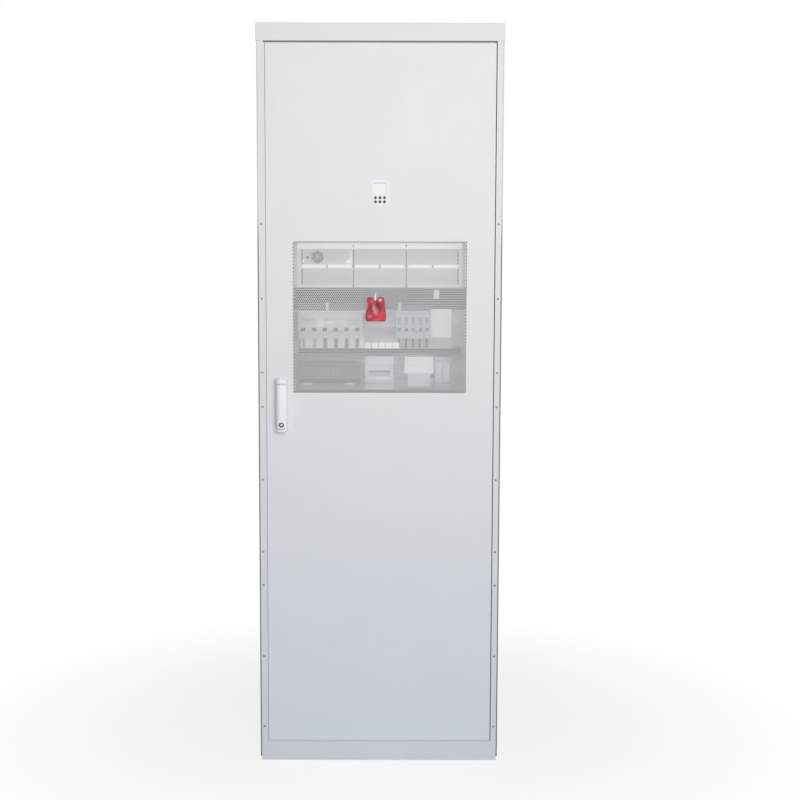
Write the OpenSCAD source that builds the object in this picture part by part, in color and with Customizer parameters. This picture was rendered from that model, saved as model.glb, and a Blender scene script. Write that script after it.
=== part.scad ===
// Telecom power cabinet: a floor-standing folded-sheet cabinet with a perforated front door,
// a rod lock worked by a swing handle, a rectifier shelf, breakers and battery trays.
// Millimetres, +Z up, front towards -Y, origin on the floor at the middle of the footprint.

/* [Cabinet] */
// Overall width over the top cover
cab_w = 600; // [590:5:700]
// Overall depth over the top cover
cab_d = 600; // [580:10:800]
// Overall height from the floor
cab_h = 1830; // [1780:10:2100]
// Height of the top cover's skirt
cap_h = 42.5; // [35:0.5:60]
// Height of the base frame
plinth_h = 47.5; // [40:0.5:70]
// How far the top cover stands out past the body
cap_over = 1.5; // [1:0.5:4]
// Thickness of the sheet in covers, panels and door
sheet_t = 1.5; // [1:0.1:1.8]
// Free edge between neighbouring covers
cover_gap = 0.5; // [0.3:0.1:1]

/* [Frame] */
// Thickness of the steel in the posts and frames
post_t = 2; // [1.5:0.1:3]
// Width of a front post's face beside the door
post_face = 13.5; // [12:0.5:20]
// Depth of a post from front to back
post_d = 60; // [55:1:80]
// Width of the door stop folded on a front post
stop_w = 36; // [30:1:45]
// Width of a rear post
rear_post_w = 47.5; // [40:0.5:60]
// Width of the flanges of the base and top frames
rail_w = 60; // [55:1:70]
// Depth of the folded edge of the side and rear panels
panel_d = 3; // [2.5:0.1:4]
// Height of the panels' lower edge above the floor
panel_z0 = 10; // [5:1:30]
// Diameter of the screw heads on posts and panels
screw_d = 5; // [3:0.5:8]
// Height of the screw heads
screw_h = 1; // [0.6:0.1:1.4]
// Spacing of screws within a group of three
screw_pitch = 182; // [120:1:200]
// Spacing between the last screw of a group and the first of the next
screw_group_gap = 85; // [60:1:100]
// Height of the lowest screw above the floor
screw_z0 = 88; // [70:1:140]
// Distance of a floor anchor from the side of the base frame
anchor_in_x = 17; // [16:0.5:30]
// Distance of a floor anchor from the front of the base frame
anchor_in_y = 98.5; // [90:0.5:120]
// Diameter of the floor anchor holes
anchor_d = 12; // [9:0.5:14]
// Diameter of the access holes above the floor anchors
anchor_access_d = 24; // [20:1:26]

/* [Door] */
// Gap all round the door
door_gap = 3.5; // [3:0.1:5]
// Depth of the door's folded edge
door_d = 24; // [22:0.5:26]
// Width of the lip folded behind the door's edge
door_lip = 28; // [26:0.5:34]
// Distance of the hinge axis from the door's right edge
hinge_in = 12; // [11:0.5:12]
// Distance of the hinge axis behind the door's front
hinge_back = 8; // [7.5:0.1:8]
// Diameter of the hinge pins
pin_d = 8; // [6:0.5:9]
// Outer diameter of the hinge bushes
bush_d = 11; // [10.5:0.1:11.8]
// Radial clearance of a turning fit
run_gap = 0.06; // [0.03:0.01:0.1]
// Gap between a moving piece and what it passes
free_gap = 0.4; // [0.3:0.05:0.6]
// Thickness of the door seal
seal_t = 5.5; // [4:0.5:7]
// Width of the door seal
seal_w = 10; // [8:0.5:11]
// Distance of the seal from the door's edge
seal_in = 14; // [13:0.5:16]
// Width of the perforated window
vent_w = 426; // [300:2:430]
// Height of the perforated window
vent_h = 369; // [200:1:420]
// Height of the window's middle above the floor
vent_z = 1126.5; // [1000:0.5:1130]
// Spacing of the window's holes
vent_pitch = 22; // [20:1:40]
// Steel left between neighbouring holes
vent_web = 4; // [3:0.5:8]
// Width of a stiffener across the inside of the door
rib_w = 32; // [20:1:50]
// Depth of a stiffener
rib_d = 14; // [8:0.5:16]

/* [Display] */
// Width of the display's bezel
bezel_w = 39; // [38:0.5:60]
// Height of the display's bezel
bezel_h = 60; // [58:0.5:70]
// Height of the bezel's middle above the floor
bezel_z = 1425; // [1400:1:1600]
// How far the bezel stands out of the door
bezel_out = 2; // [1:0.1:3]
// Depth of the display's housing behind the door's front
housing_d = 36; // [26:1:45]
// Width of the screen
screen_w = 33; // [26:0.5:35]
// Height of the screen
screen_h = 29; // [20:0.5:30]
// Thickness of the screen's window
screen_t = 1.2; // [0.8:0.1:1.5]
// Diameter of a key
key_d = 7; // [5:0.1:7.5]
// Spacing of the keys side to side
key_pitch_x = 11; // [10:0.1:11.5]
// Spacing of the keys up and down
key_pitch_z = 10; // [9.8:0.1:10.2]
// Travel of a key
key_travel = 0.8; // [0.4:0.1:0.9]

/* [Handle] */
// Distance of the handle's axis from the door's left edge
handle_in = 37.5; // [36:0.5:40]
// Height of the spindle's axis above the floor
spindle_z = 957; // [900:1:1000]
// Width of the lever
lever_w = 30; // [28:0.5:31]
// Depth of the lever
lever_d = 18; // [16:0.5:20]
// Length of the handle from end to end
handle_len = 130; // [110:1:180]
// How far the base plate stands out past the lever on each side
base_edge = 1.5; // [0.5:0.1:3]
// Thickness of the base plate
base_t = 5; // [4:0.5:7]
// Diameter of the spindle
spindle_d = 12; // [10:0.5:13]
// Diameter of the lever's pin
lever_pin_d = 4; // [3:0.1:5]
// Diameter of the lock cylinder
lock_d = 13; // [10:0.5:16]
// Height of the lock cylinder's axis above the handle's lower end
lock_up = 16.5; // [15:0.5:40]
// Module of the pinion's teeth
gear_m = 1.25; // [1.15:0.05:1.3]
// Diameter of the lock rods
rod_d = 8; // [7:0.5:8]
// Length of a rod's rack
rack_len = 38; // [34:1:44]

/* [Equipment] */
// Distance of the rack rails' face behind the door's front
rail_back = 83.5; // [75:0.5:120]
// Height of the rectifier shelf's lower edge
shelf_z = 1191; // [1180:1:1200]
// Width of the rectifier shelf's case
shelf_w = 412; // [404:1:420]
// Depth of the rectifier shelf
shelf_d = 300; // [200:5:340]
// Width of a rectifier
module_w = 130; // [120:0.5:131]
// Height of a rectifier
module_h = 39.2; // [36:0.1:40]
// Spacing of the rectifiers side to side
module_pitch_x = 131.6; // [131.4:0.1:134]
// Spacing of the rectifiers up and down
module_pitch_z = 48.3; // [46:0.1:52]
// Diameter of the rectifier's fan
fan_d = 32; // [26:0.5:33]
// Height of the upper breaker row's rail
row1_z = 1104; // [1100:1:1108]
// Height of the lower breaker row's rail
row2_z = 974; // [960:1:976]
// Width of one pole of a battery breaker
battery_pole_w = 27; // [18:0.5:27]
// Width of one pole of a load breaker
load_pole_w = 17.5; // [15:0.5:18]
// Height of a breaker's body
breaker_h = 85; // [75:1:86]
// Height of a breaker's nose
nose_h = 45; // [40:1:55]
// Height of the wire duct
duct_h = 12; // [10:0.5:14]
// Height of the lower battery tray
tray1_z = 130; // [100:5:200]
// Height of the upper battery tray
tray2_z = 470; // [440:5:560]
// Height of the edge folded down round a battery tray
tray_rim = 25; // [15:1:40]

/* [Hidden] */
$fn = 48;
// Main planes of the body
half_w = cab_w / 2;
body_x = half_w - cap_over;
post_x = body_x - panel_d;
jamb_x = post_x - post_face;
stop_x = jamb_x + post_t - stop_w;
front_y = -cab_d / 2 + cap_over;
back_y = cab_d / 2 - cap_over;
frame_back_y = back_y - panel_d;
base_back_y = frame_back_y - post_t;
cap_z = cab_h - cap_h;
anchor_x = jamb_x - anchor_in_x;
anchor_y = -front_y - anchor_in_y;
// Door
door_x = jamb_x - door_gap;
door_z0 = plinth_h + door_gap;
door_z1 = cap_z - door_gap;
door_back_y = front_y + door_d;
skin_y = front_y + sheet_t;
stop_y = door_back_y + seal_t + free_gap;
pivot_x = door_x - hinge_in;
pivot_y = front_y + hinge_back;
hinge_block = 25;
hinge_depth = 8;
bush_len = 12;
vent_side = (vent_pitch - vent_web) / sqrt(3);
vent_row = vent_pitch * sqrt(3) / 2;
vent_rows = floor((vent_h - 2 * vent_side) / vent_row) + 1;
vent_cols = floor((vent_w - vent_pitch) / vent_pitch);
// Display
bezel_y = front_y - bezel_out;
bezel_plate = bezel_out + sheet_t;
bezel_lap = 1.2;
housing_wall = 1.2;
screen_top = 5;
screen_z = bezel_z + bezel_h / 2 - screen_top - screen_h / 2;
key_up = 8.5;
key_z = bezel_z - bezel_h / 2 + key_up;
key_gap = 0.15;
key_flange = 0.5;
key_flange_t = 1.2;
key_out = key_travel + free_gap;
// Handle and lock
handle_x = -door_x + handle_in;
hub_r = lever_w / 2;
base_y = front_y - base_t;
lever_y = base_y - free_gap;
hub_d = 8;
head_h = 10;
knuckle_d = 8;
pin_cover = 0.5;
lever_pin_y = lever_y - lever_d + knuckle_d / 2 + pin_cover;
lever_pin_z = spindle_z + hub_r - head_h;
lever_end_z = spindle_z + hub_r - handle_len;
lock_z = lever_end_z + lock_up;
lock_depth = lever_d * 0.75;
lever_round = 9;
handle_corner = 5;
handle_end_r = 10;
tongue_w = lever_w - 2 * lever_round;
key_slot_w = 2;
gear_teeth = 16;
gear_r = gear_m * gear_teeth / 2;
pressure = 20;
gear_base = gear_r * cos(pressure);
gear_root = gear_r - 1.25 * gear_m;
gear_tip = gear_r + gear_m;
rack_pitch = PI * gear_m;
tooth_slack = 0.25;
gear_y = front_y + 9.5;
gear_w = 10;
journal_d = 8;
rack_x = gear_r + 1.25 * gear_m + rod_d / 4;
rack_low = 10;
rod_lap = 0.5;
gearbox_x = rack_x + rod_d / 2 + free_gap + 4.5;
gearbox_h = 84;
gearbox_end_y = door_back_y - sheet_t - 1;
keeper_d = rod_d + 2;
rod_reach = 1.5;
upper_rod_x = handle_x - rack_x;
lower_rod_x = handle_x + rack_x;
// Equipment
rack_y = front_y + rail_back;
ear_x = 241.3;
ear_t = 2;
shelf_y = rack_y - ear_t;
cell_back = 20;
rail_hole_x = 232.55;
rail_face_x = 224;
rail_angle_w = 26;
rail_leg = 50;
rail_hole_d = 6.5;
rail_unit = 44.45;
cell_gap = 0.4;
shelf_strip = 8;
shelf_top_strip = 13;
shelf_h = shelf_strip + module_h + module_pitch_z + shelf_top_strip;
module_z = [shelf_z + shelf_strip, shelf_z + shelf_strip + module_pitch_z];
module_x = [-module_pitch_x, 0, module_pitch_x];
blank_d = 14;
fan_x = module_x[0] - 24;
fan_z = module_z[1] + module_h / 2;
fan_y = rack_y + 3;
fan_depth = 10;
fan_hub_d = 11;
fan_pin_d = 3;
blade_t = 1;
blade_pitch = 35;
guard_wire = 1.2;
pull_x = 20;
pull_w = 32;
pull_h = 9;
pull_out = 12;
pull_t = 3;
latch_w = 5;
latch_out = 4;
chassis_gap = 3;
chassis_x = 222;
chassis_z0 = row2_z - 49;
chassis_d = 75;
chassis_y = rack_y + chassis_d;
din_d = 7.5;
din_t = 1;
din_h = 35;
din_web_h = 27;
din_half_w = 205;
breaker_y = chassis_y - din_d;
shoulder_d = 46;
nose_d = 66;
toggle_r = 7;
toggle_back = 9;
toggle_y = breaker_y - nose_d + toggle_back;
toggle_len = 22;
toggle_t = 5;
toggle_tilt = 35;
toggle_slot = 24;
body_gap = 0.2;
lead_y = breaker_y - 22;
battery_lead_d = 9;
load_lead_d = 5;
terminal_count = 15;
terminal_pitch = 10.5;
terminal_w = 10;
terminal_h = 56;
terminal_front_h = 32;
terminal_shoulder = 20;
terminal_d = 42;
contactor_x = 62;
contactor_w = 74;
contactor_h = 42;
contactor_taper = 8;
coil_w = 56;
coil_h = 32;
coil_step = 4;
arrester_x = 140;
arrester_w = 36;
arrester_h = 84;
cartridge_w = 16;
cartridge_h = 50;
cartridge_low = 20;
cartridge_cap_d = 12;
cartridge_cap_out = 3;
bag_row = 2 * round(vent_rows / 3);
bag_x = (floor(vent_cols / 2) - vent_cols / 2 - 1 / 2) * vent_pitch;
bag_tie_z = vent_z + (bag_row - (vent_rows - 1) / 2) * vent_row;
bag_drop = 71;
pouch_r = 9;
pouch_half_w = 15;
pouch_top = 34;
shoulder_x = 13;
neck_z = 50;
neck_r = 4;
neck_x = 3;
lobe_x = 15;
lobe_z = 58;
lobe_r = 5;
tie_w = 3;
tie_t = 2;
battery_x = [for (i = [0 : 2]) -din_half_w + (2 * i + 1) * battery_pole_w];
load_x0 = 49;
load_x = [for (i = [0 : 4]) load_x0 + i * load_pole_w];
battery_toggle_w = 30;
load_toggle_w = 8;
input_toggle_w = 52;
input_x = -1;
input_w = 72;
duct_drop = 10;
duct_z = (row1_z + row2_z - duct_h) / 2 - duct_drop;
duct_d = 48;
duct_slot_w = 6;
duct_slot_d = 10;
duct_slot_pitch = 20;
tray_front_lap = 16;
tray_back_gap = 8;
tray_x = min(stop_x, post_x - rear_post_w);
tray_y0 = front_y + post_d - tray_front_lap;
tray_y1 = base_back_y - tray_back_gap;
gland_lap = 15;
entry_w = 320;
entry_d = 90;
entry_y = 120;

// Shared shapes

// Block between two opposite corners
module box_at(low, high) {
    translate(low) cube(high - low);
}

// Round bar along X, from x0 to x1
module bar_x(d, x0, x1, y, z) {
    translate([x0, y, z]) rotate([0, 90, 0]) cylinder(d = d, h = x1 - x0);
}

// Round bar along Y, from y0 to y1
module bar_y(d, x, y0, y1, z) {
    translate([x, y0, z]) rotate([-90, 0, 0]) cylinder(d = d, h = y1 - y0);
}

// Outline in X and Z drawn as a sheet from y0 to y1
module plate_y(y0, y1) {
    translate([0, y1, 0]) rotate([90, 0, 0]) linear_extrude(y1 - y0) children();
}

// Outline in Y and Z drawn as a bar from x0 to x1
module profile_x(x0, x1) {
    translate([x0, 0, 0]) rotate([90, 0, 90]) linear_extrude(x1 - x0) children();
}

// Pan with its skin facing -Y and its edges folded towards +Y, standing on z = 0
module folded_panel(w, h) {
    difference() {
        box_at([-w / 2, 0, 0], [w / 2, panel_d, h]);
        box_at([-w / 2 + sheet_t, sheet_t, sheet_t], [w / 2 - sheet_t, panel_d + 1, h - sheet_t]);
    }
}

// Ring of C-section rail, open towards the middle
module channel_ring(low, high) {
    t = [post_t, post_t, post_t];
    rail = [rail_w, rail_w, -1];
    difference() {
        box_at(low, high);
        box_at(low + t, high - t);
        box_at(low + rail, high - rail);
    }
}

// Frame

module base_frame() color("gainsboro") difference() {
    channel_ring([-jamb_x, front_y, 0], [jamb_x, base_back_y, plinth_h]);
    for (sx = [-1, 1], sy = [-1, 1]) translate([sx * anchor_x, sy * anchor_y, -1]) {
        cylinder(d = anchor_d, h = post_t + 2);
        translate([0, 0, plinth_h - post_t]) cylinder(d = anchor_access_d, h = post_t + 2);
    }
    translate([pivot_x, pivot_y, plinth_h - post_t - 1]) cylinder(r = bush_d / 2 + run_gap, h = post_t + 2);
    translate([lower_rod_x, gear_y, plinth_h - post_t - 1]) cylinder(d = keeper_d, h = post_t + 2);
}

module gland_plate() color("silver") difference() {
    box_at([-jamb_x + rail_w - gland_lap, front_y + rail_w - gland_lap, plinth_h],
        [jamb_x - rail_w + gland_lap, base_back_y - rail_w + gland_lap, plinth_h + post_t]);
    box_at([-entry_w / 2, entry_y - entry_d / 2, plinth_h - 1],
        [entry_w / 2, entry_y + entry_d / 2, plinth_h + post_t + 1]);
}

// Closed box of sheet between two corners in X and Y, standing on the base frame
module post_tube(low, high) {
    wall = [post_t, post_t];
    translate([0, 0, plinth_h]) linear_extrude(cap_z - plinth_h) difference() {
        translate(low) square(high - low);
        translate(low + wall) square(high - low - 2 * wall);
    }
}

// Right-hand front post: face and jamb beside the door, with a tube behind whose front is the door stop
module front_post() {
    linear_extrude(cap_z) {
        translate([jamb_x, front_y]) square([post_face, post_t]);
        translate([post_x - post_t, front_y]) square([post_t, post_d]);
        translate([jamb_x, front_y]) square([post_t, stop_y + post_t - front_y]);
    }
    post_tube([stop_x, stop_y], [post_x, front_y + post_d]);
}

// Right-hand rear post: a corner down to the floor, closed to a tube above the base frame
module rear_post() {
    linear_extrude(cap_z) {
        translate([post_x - post_t, frame_back_y - post_d]) square([post_t, post_d]);
        translate([post_x - rear_post_w, frame_back_y - post_t]) square([rear_post_w, post_t]);
    }
    post_tube([post_x - rear_post_w, frame_back_y - post_d], [post_x, frame_back_y]);
}

module front_right_post() color("whitesmoke") front_post();

module front_left_post() color("whitesmoke") mirror([1, 0, 0]) front_post();

module rear_right_post() color("whitesmoke") rear_post();

module rear_left_post() color("whitesmoke") mirror([1, 0, 0]) rear_post();

module top_frame() color("gainsboro") difference() {
    channel_ring([-post_x, front_y, cap_z], [post_x, frame_back_y, cab_h - sheet_t]);
    translate([pivot_x, pivot_y, cap_z - 1]) cylinder(r = bush_d / 2 + run_gap, h = post_t + 2);
    translate([upper_rod_x, gear_y, cap_z - 1]) cylinder(d = keeper_d, h = post_t + 2);
}

module top_cover() color("whitesmoke") difference() {
    box_at([-half_w, -cab_d / 2, cap_z], [half_w, cab_d / 2, cab_h]);
    box_at([-half_w + sheet_t, -cab_d / 2 + sheet_t, cap_z - 1],
        [half_w - sheet_t, cab_d / 2 - sheet_t, cab_h - sheet_t]);
}

// Panel on the right-hand side, covering posts and base from front to back
module side_panel() {
    translate([body_x, 0, panel_z0]) rotate([0, 0, 90])
        folded_panel(back_y - front_y, cap_z - cover_gap - panel_z0);
}

module right_side_panel() color("darkgray") side_panel();

module left_side_panel() color("darkgray") mirror([1, 0, 0]) side_panel();

module rear_panel() color("whitesmoke")
    translate([0, back_y, panel_z0]) rotate([0, 0, 180])
        folded_panel(2 * (post_x - cover_gap), cap_z - cover_gap - panel_z0);

// Heights of the nine screws on a post, in three groups of three
function screw_heights() = [for (g = [0 : 2], i = [0 : 2])
    screw_z0 + g * (2 * screw_pitch + screw_group_gap) + i * screw_pitch];

module panel_screws() color("dimgray") for (z = screw_heights(), sx = [-1, 1]) {
    bar_y(screw_d, sx * (jamb_x + post_face / 2), front_y - screw_h, front_y, z);
    bar_y(screw_d, sx * (post_x - rear_post_w / 2), back_y, back_y + screw_h, z);
}

module hinge_bushes() color("ivory") {
    difference() {
        translate([pivot_x, pivot_y, cap_z]) cylinder(d = bush_d, h = bush_len);
        translate([pivot_x, pivot_y, cap_z - 1]) cylinder(r = pin_d / 2 + run_gap, h = bush_len + 2);
    }
    difference() {
        translate([pivot_x, pivot_y, plinth_h - bush_len]) cylinder(d = bush_d, h = bush_len);
        translate([pivot_x, pivot_y, plinth_h - bush_len - 1])
            cylinder(r = pin_d / 2 + run_gap, h = bush_len + 2);
    }
    difference() {
        translate([pivot_x, pivot_y, plinth_h]) cylinder(d = bush_d + 4, h = door_gap - free_gap);
        translate([pivot_x, pivot_y, plinth_h - 1]) cylinder(r = pin_d / 2 + run_gap, h = door_gap + 1);
    }
}

// Door

// Hexagonal holes in staggered rows, as an outline in X and Z
module vent_pattern() {
    for (r = [0 : vent_rows - 1], c = [0 : vent_cols - (r % 2)])
        translate([(c - vent_cols / 2 + (r % 2) / 2) * vent_pitch,
            vent_z + (r - (vent_rows - 1) / 2) * vent_row])
            rotate(90) circle(r = vent_side, $fn = 6);
}

module door_skin() color("whitesmoke") difference() {
    box_at([-door_x, front_y, door_z0], [door_x, door_back_y, door_z1]);
    box_at([-door_x + sheet_t, skin_y, door_z0 + sheet_t],
        [door_x - sheet_t, door_back_y - sheet_t, door_z1 - sheet_t]);
    box_at([-door_x + door_lip, skin_y, door_z0 + door_lip],
        [door_x - door_lip, door_back_y + 1, door_z1 - door_lip]);
    plate_y(front_y - 1, skin_y + 1) vent_pattern();
    plate_y(front_y - 1, skin_y + 1) translate([0, bezel_z])
        square([bezel_w - 2 * bezel_lap + 2 * run_gap, bezel_h - 2 * bezel_lap + 2 * run_gap], center = true);
    bar_y(spindle_d + 2 * free_gap, handle_x, front_y - 1, skin_y + 1, spindle_z);
    translate([pivot_x, pivot_y, door_z0 - 1]) cylinder(r = pin_d / 2 + run_gap, h = sheet_t + 2);
    translate([pivot_x, pivot_y, door_z1 - sheet_t - 1]) cylinder(r = pin_d / 2 + run_gap, h = sheet_t + 2);
    translate([lower_rod_x, gear_y, door_z0 - 1]) cylinder(r = rod_d / 2 + free_gap, h = sheet_t + 2);
    translate([upper_rod_x, gear_y, door_z1 - sheet_t - 1])
        cylinder(r = rod_d / 2 + free_gap, h = sheet_t + 2);
}

// Hat-section stiffener across the door at height z
module door_rib(z) {
    x0 = handle_x + gearbox_x + 6;
    x1 = door_x - door_lip;
    difference() {
        box_at([x0, skin_y, z - rib_w / 2], [x1, skin_y + rib_d, z + rib_w / 2]);
        box_at([x0 - 1, skin_y - 1, z - rib_w / 2 + sheet_t], [x1 + 1, skin_y + rib_d - sheet_t,
            z + rib_w / 2 - sheet_t]);
    }
}

module door_stiffeners() color("lightgray") {
    door_rib(door_z1 - 90);
    door_rib(vent_z + vent_h / 2 + rib_w);
    door_rib(vent_z - vent_h / 2 - rib_w);
    door_rib((door_z0 + vent_z - vent_h / 2) / 2);
    door_rib(door_z0 + 90);
}

module door_gasket() color("dimgray") plate_y(door_back_y, door_back_y + seal_t) difference() {
    translate([-door_x + seal_in, door_z0 + seal_in])
        square([2 * (door_x - seal_in), door_z1 - door_z0 - 2 * seal_in]);
    translate([-door_x + seal_in + seal_w, door_z0 + seal_in + seal_w])
        square([2 * (door_x - seal_in - seal_w), door_z1 - door_z0 - 2 * (seal_in + seal_w)]);
}

// Pin with the square block that is welded inside the door's corner
module hinge_pin(z_seat, dir) {
    block = 2 * (hinge_back - sheet_t);
    translate([pivot_x, pivot_y, z_seat]) mirror([0, 0, dir > 0 ? 0 : 1]) {
        translate([-block / 2, -block / 2, -hinge_block]) cube([block, block, hinge_block]);
        cylinder(d = pin_d, h = sheet_t + door_gap + hinge_depth);
    }
}

module hinge_pins() color("silver") {
    hinge_pin(door_z1 - sheet_t, 1);
    hinge_pin(door_z0 + sheet_t, -1);
}

// Display

// Rectangle about the bezel's middle, drawn in from its edge
module bezel_inset(edge) {
    translate([0, bezel_z]) square([bezel_w - 2 * edge, bezel_h - 2 * edge], center = true);
}

module display_housing() color("gainsboro") difference() {
    union() {
        plate_y(bezel_y, front_y) bezel_inset(0);
        plate_y(front_y, front_y + housing_d) bezel_inset(bezel_lap);
    }
    plate_y(bezel_y + bezel_plate, front_y + housing_d - housing_wall) bezel_inset(bezel_lap + housing_wall);
    plate_y(bezel_y - 1, bezel_y + screen_t) translate([0, screen_z])
        square([screen_w + 2 * run_gap, screen_h + 2 * run_gap], center = true);
    for (i = [1 : 6])
        bar_y(key_d + 2 * key_gap, key_x(i), bezel_y - 1, bezel_y + bezel_plate + 1, key_row_z(i));
}

module display_lens() color("honeydew")
    plate_y(bezel_y, bezel_y + screen_t) translate([0, screen_z]) square([screen_w, screen_h], center = true);

function key_x(i) = ((i - 1) % 3 - 1) * key_pitch_x;
function key_row_z(i) = key_z + floor((i - 1) / 3) * key_pitch_z;

// Round key with a flange that keeps it behind the bezel
module key(i) color("dimgray") {
    flange_y = bezel_y + bezel_plate + key_gap;
    bar_y(key_d, key_x(i), bezel_y - key_out, flange_y + key_flange_t, key_row_z(i));
    bar_y(key_d + 2 * key_flange, key_x(i), flange_y, flange_y + key_flange_t, key_row_z(i));
}

// Handle and rod lock

// Outline of the whole handle in X and Z, grown by an edge: small corners above, larger ones below
module handle_outline(edge) {
    r = hub_r + edge;
    high_z = spindle_z + r;
    low_z = lever_end_z - edge;
    top_r = handle_corner + edge;
    end_r = handle_end_r + edge;
    translate([handle_x, 0]) {
        translate([-r, low_z + end_r]) square([2 * r, high_z - top_r - low_z - end_r]);
        translate([-r + top_r, spindle_z]) square([2 * (r - top_r), high_z - spindle_z]);
        translate([-r + end_r, low_z]) square([2 * (r - end_r), spindle_z - low_z]);
        for (s = [-1, 1]) {
            translate([s * (r - top_r), high_z - top_r]) circle(top_r);
            translate([s * (r - end_r), low_z + end_r]) circle(end_r);
        }
    }
}

module handle_base() color("gainsboro") difference() {
    plate_y(base_y, front_y) handle_outline(base_edge);
    bar_y(spindle_d + 2 * run_gap, handle_x, base_y - 1, front_y + 1, spindle_z);
}

// Section of the lever in X and Y, flat behind and rounded in front
module lever_section() {
    translate([-lever_w / 2, -lever_d + lever_round]) square([lever_w, lever_d - lever_round]);
    translate([-lever_w / 2 + lever_round, -lever_d]) square([lever_w - 2 * lever_round, lever_d]);
    for (s = [-1, 1])
        translate([s * (lever_w / 2 - lever_round), -lever_d + lever_round]) circle(lever_round);
}

// Rounded bar with the handle's outline, between two heights
module lever_bar(z0, z1) {
    intersection() {
        translate([handle_x, lever_y, z0]) linear_extrude(z1 - z0) lever_section();
        plate_y(lever_y - lever_d - 1, lever_y + 1) handle_outline(0);
    }
}

// Half the angle of a pinion tooth at radius r, on an involute flank
function involute(a) = tan(a) * 180 / PI - a;
function tooth_half(r) = 90 / gear_teeth + involute(pressure) - involute(acos(min(1, gear_base / r)))
    - tooth_slack / 2 / gear_r * 180 / PI;

// Pinion about the origin: each tooth runs up one involute flank and down the other
module pinion_outline() {
    radii = [gear_root, gear_base, (2 * gear_base + gear_tip) / 3, (gear_base + 2 * gear_tip) / 3, gear_tip];
    last = len(radii) - 1;
    polygon([for (i = [0 : gear_teeth - 1], k = [0 : 2 * last + 1])
        let (r = radii[k <= last ? k : 2 * last + 1 - k],
            side = k <= last ? -1 : 1,
            a = i * 360 / gear_teeth + side * tooth_half(max(r, gear_base)))
        [r * cos(a), r * sin(a)]]);
}

// Knuckle about the lever's pin, between two places in X
module knuckle(d, x0, x1) {
    bar_x(d, handle_x + x0, handle_x + x1, lever_pin_y, lever_pin_z);
}

// Head and hub behind the lever, with the shaft and the pinion in one piece
module handle_spindle() color("silver") {
    slot_x = tongue_w / 2 + free_gap;
    difference() {
        union() {
            lever_bar(lever_pin_z, spindle_z + hub_r);
            intersection() {
                lever_bar(lever_pin_z - knuckle_d / 2, lever_pin_z + 1);
                knuckle(knuckle_d, -lever_w, lever_w);
            }
            intersection() {
                plate_y(lever_y - hub_d, lever_y) handle_outline(0);
                box_at([handle_x - hub_r, lever_y - hub_d, spindle_z - hub_r],
                    [handle_x + hub_r, lever_y, spindle_z + hub_r]);
            }
        }
        knuckle(knuckle_d + 2 * free_gap, -slot_x, slot_x);
    }
    knuckle(lever_pin_d, -tongue_w, tongue_w);
    bar_y(spindle_d, handle_x, lever_y - 1, gear_y, spindle_z);
    bar_y(journal_d, handle_x, gear_y, gearbox_end_y, spindle_z);
    translate([handle_x, 0, spindle_z]) plate_y(gear_y - gear_w / 2, gear_y + gear_w / 2) pinion_outline();
}

// Lever with a tongue on the pin and a pocket behind for the hub
module handle_lever() color("whitesmoke") difference() {
    shoulder_z = lever_pin_z - knuckle_d / 2 - free_gap;
    pocket_y = lever_y - hub_d - free_gap;
    union() {
        lever_bar(lever_end_z, shoulder_z);
        box_at([handle_x - tongue_w / 2, lever_pin_y, shoulder_z - 1],
            [handle_x + tongue_w / 2, pocket_y, lever_pin_z - free_gap]);
        knuckle(knuckle_d, -tongue_w / 2, tongue_w / 2);
    }
    box_at([handle_x - lever_w, pocket_y, spindle_z - hub_r - free_gap],
        [handle_x + lever_w, lever_y + 1, lever_pin_z]);
    knuckle(lever_pin_d + 2 * run_gap, -hub_r, hub_r);
    bar_y(lock_d + 2 * run_gap, handle_x, lever_y - lever_d - 1, lever_y - lever_d + lock_depth, lock_z);
}

module lock_cylinder() color("dimgray") difference() {
    bar_y(lock_d, handle_x, lever_y - lever_d, lever_y - lever_d + lock_depth - free_gap, lock_z);
    box_at([handle_x - key_slot_w / 2, lever_y - lever_d - 1, lock_z - lock_d / 4],
        [handle_x + key_slot_w / 2, lever_y - lever_d + lock_depth / 2, lock_z + lock_d / 4]);
}

// Rack left of the pinion, about the spindle's axis, with its back end low and the rod above it
module rack_outline() {
    root_x = -gear_r - 1.25 * gear_m;
    tip_x = -gear_r + gear_m;
    half = rack_pitch / 4 - tooth_slack / 2;
    translate([-rack_x - rod_d / 2, -rack_low]) square([rod_d * 3 / 4, rack_len]);
    for (k = [ceil((1 - rack_low) / rack_pitch) : floor((rack_len - rack_low - 1) / rack_pitch) - 1])
        translate([0, (k + 0.5) * rack_pitch]) polygon([
            [root_x - 0.1, -half - 1.25 * gear_m * tan(pressure)], [tip_x, -half + gear_m * tan(pressure)],
            [tip_x, half - gear_m * tan(pressure)], [root_x - 0.1, half + 1.25 * gear_m * tan(pressure)]]);
}

// Rod that rises from a rack to a height above the spindle's axis
module lock_rod(reach) {
    plate_y(gear_y - rod_d / 2, gear_y + rod_d / 2) rack_outline();
    translate([-rack_x, gear_y, rack_len - rack_low - rod_lap])
        cylinder(d = rod_d, h = reach - rack_len + rack_low + rod_lap);
}

module upper_rod() color("silver")
    translate([handle_x, 0, spindle_z]) lock_rod(door_z1 + rod_reach - spindle_z);

module lower_rod() color("silver")
    translate([handle_x, 0, spindle_z]) rotate([0, 180, 0]) lock_rod(spindle_z - door_z0 + rod_reach);

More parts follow.
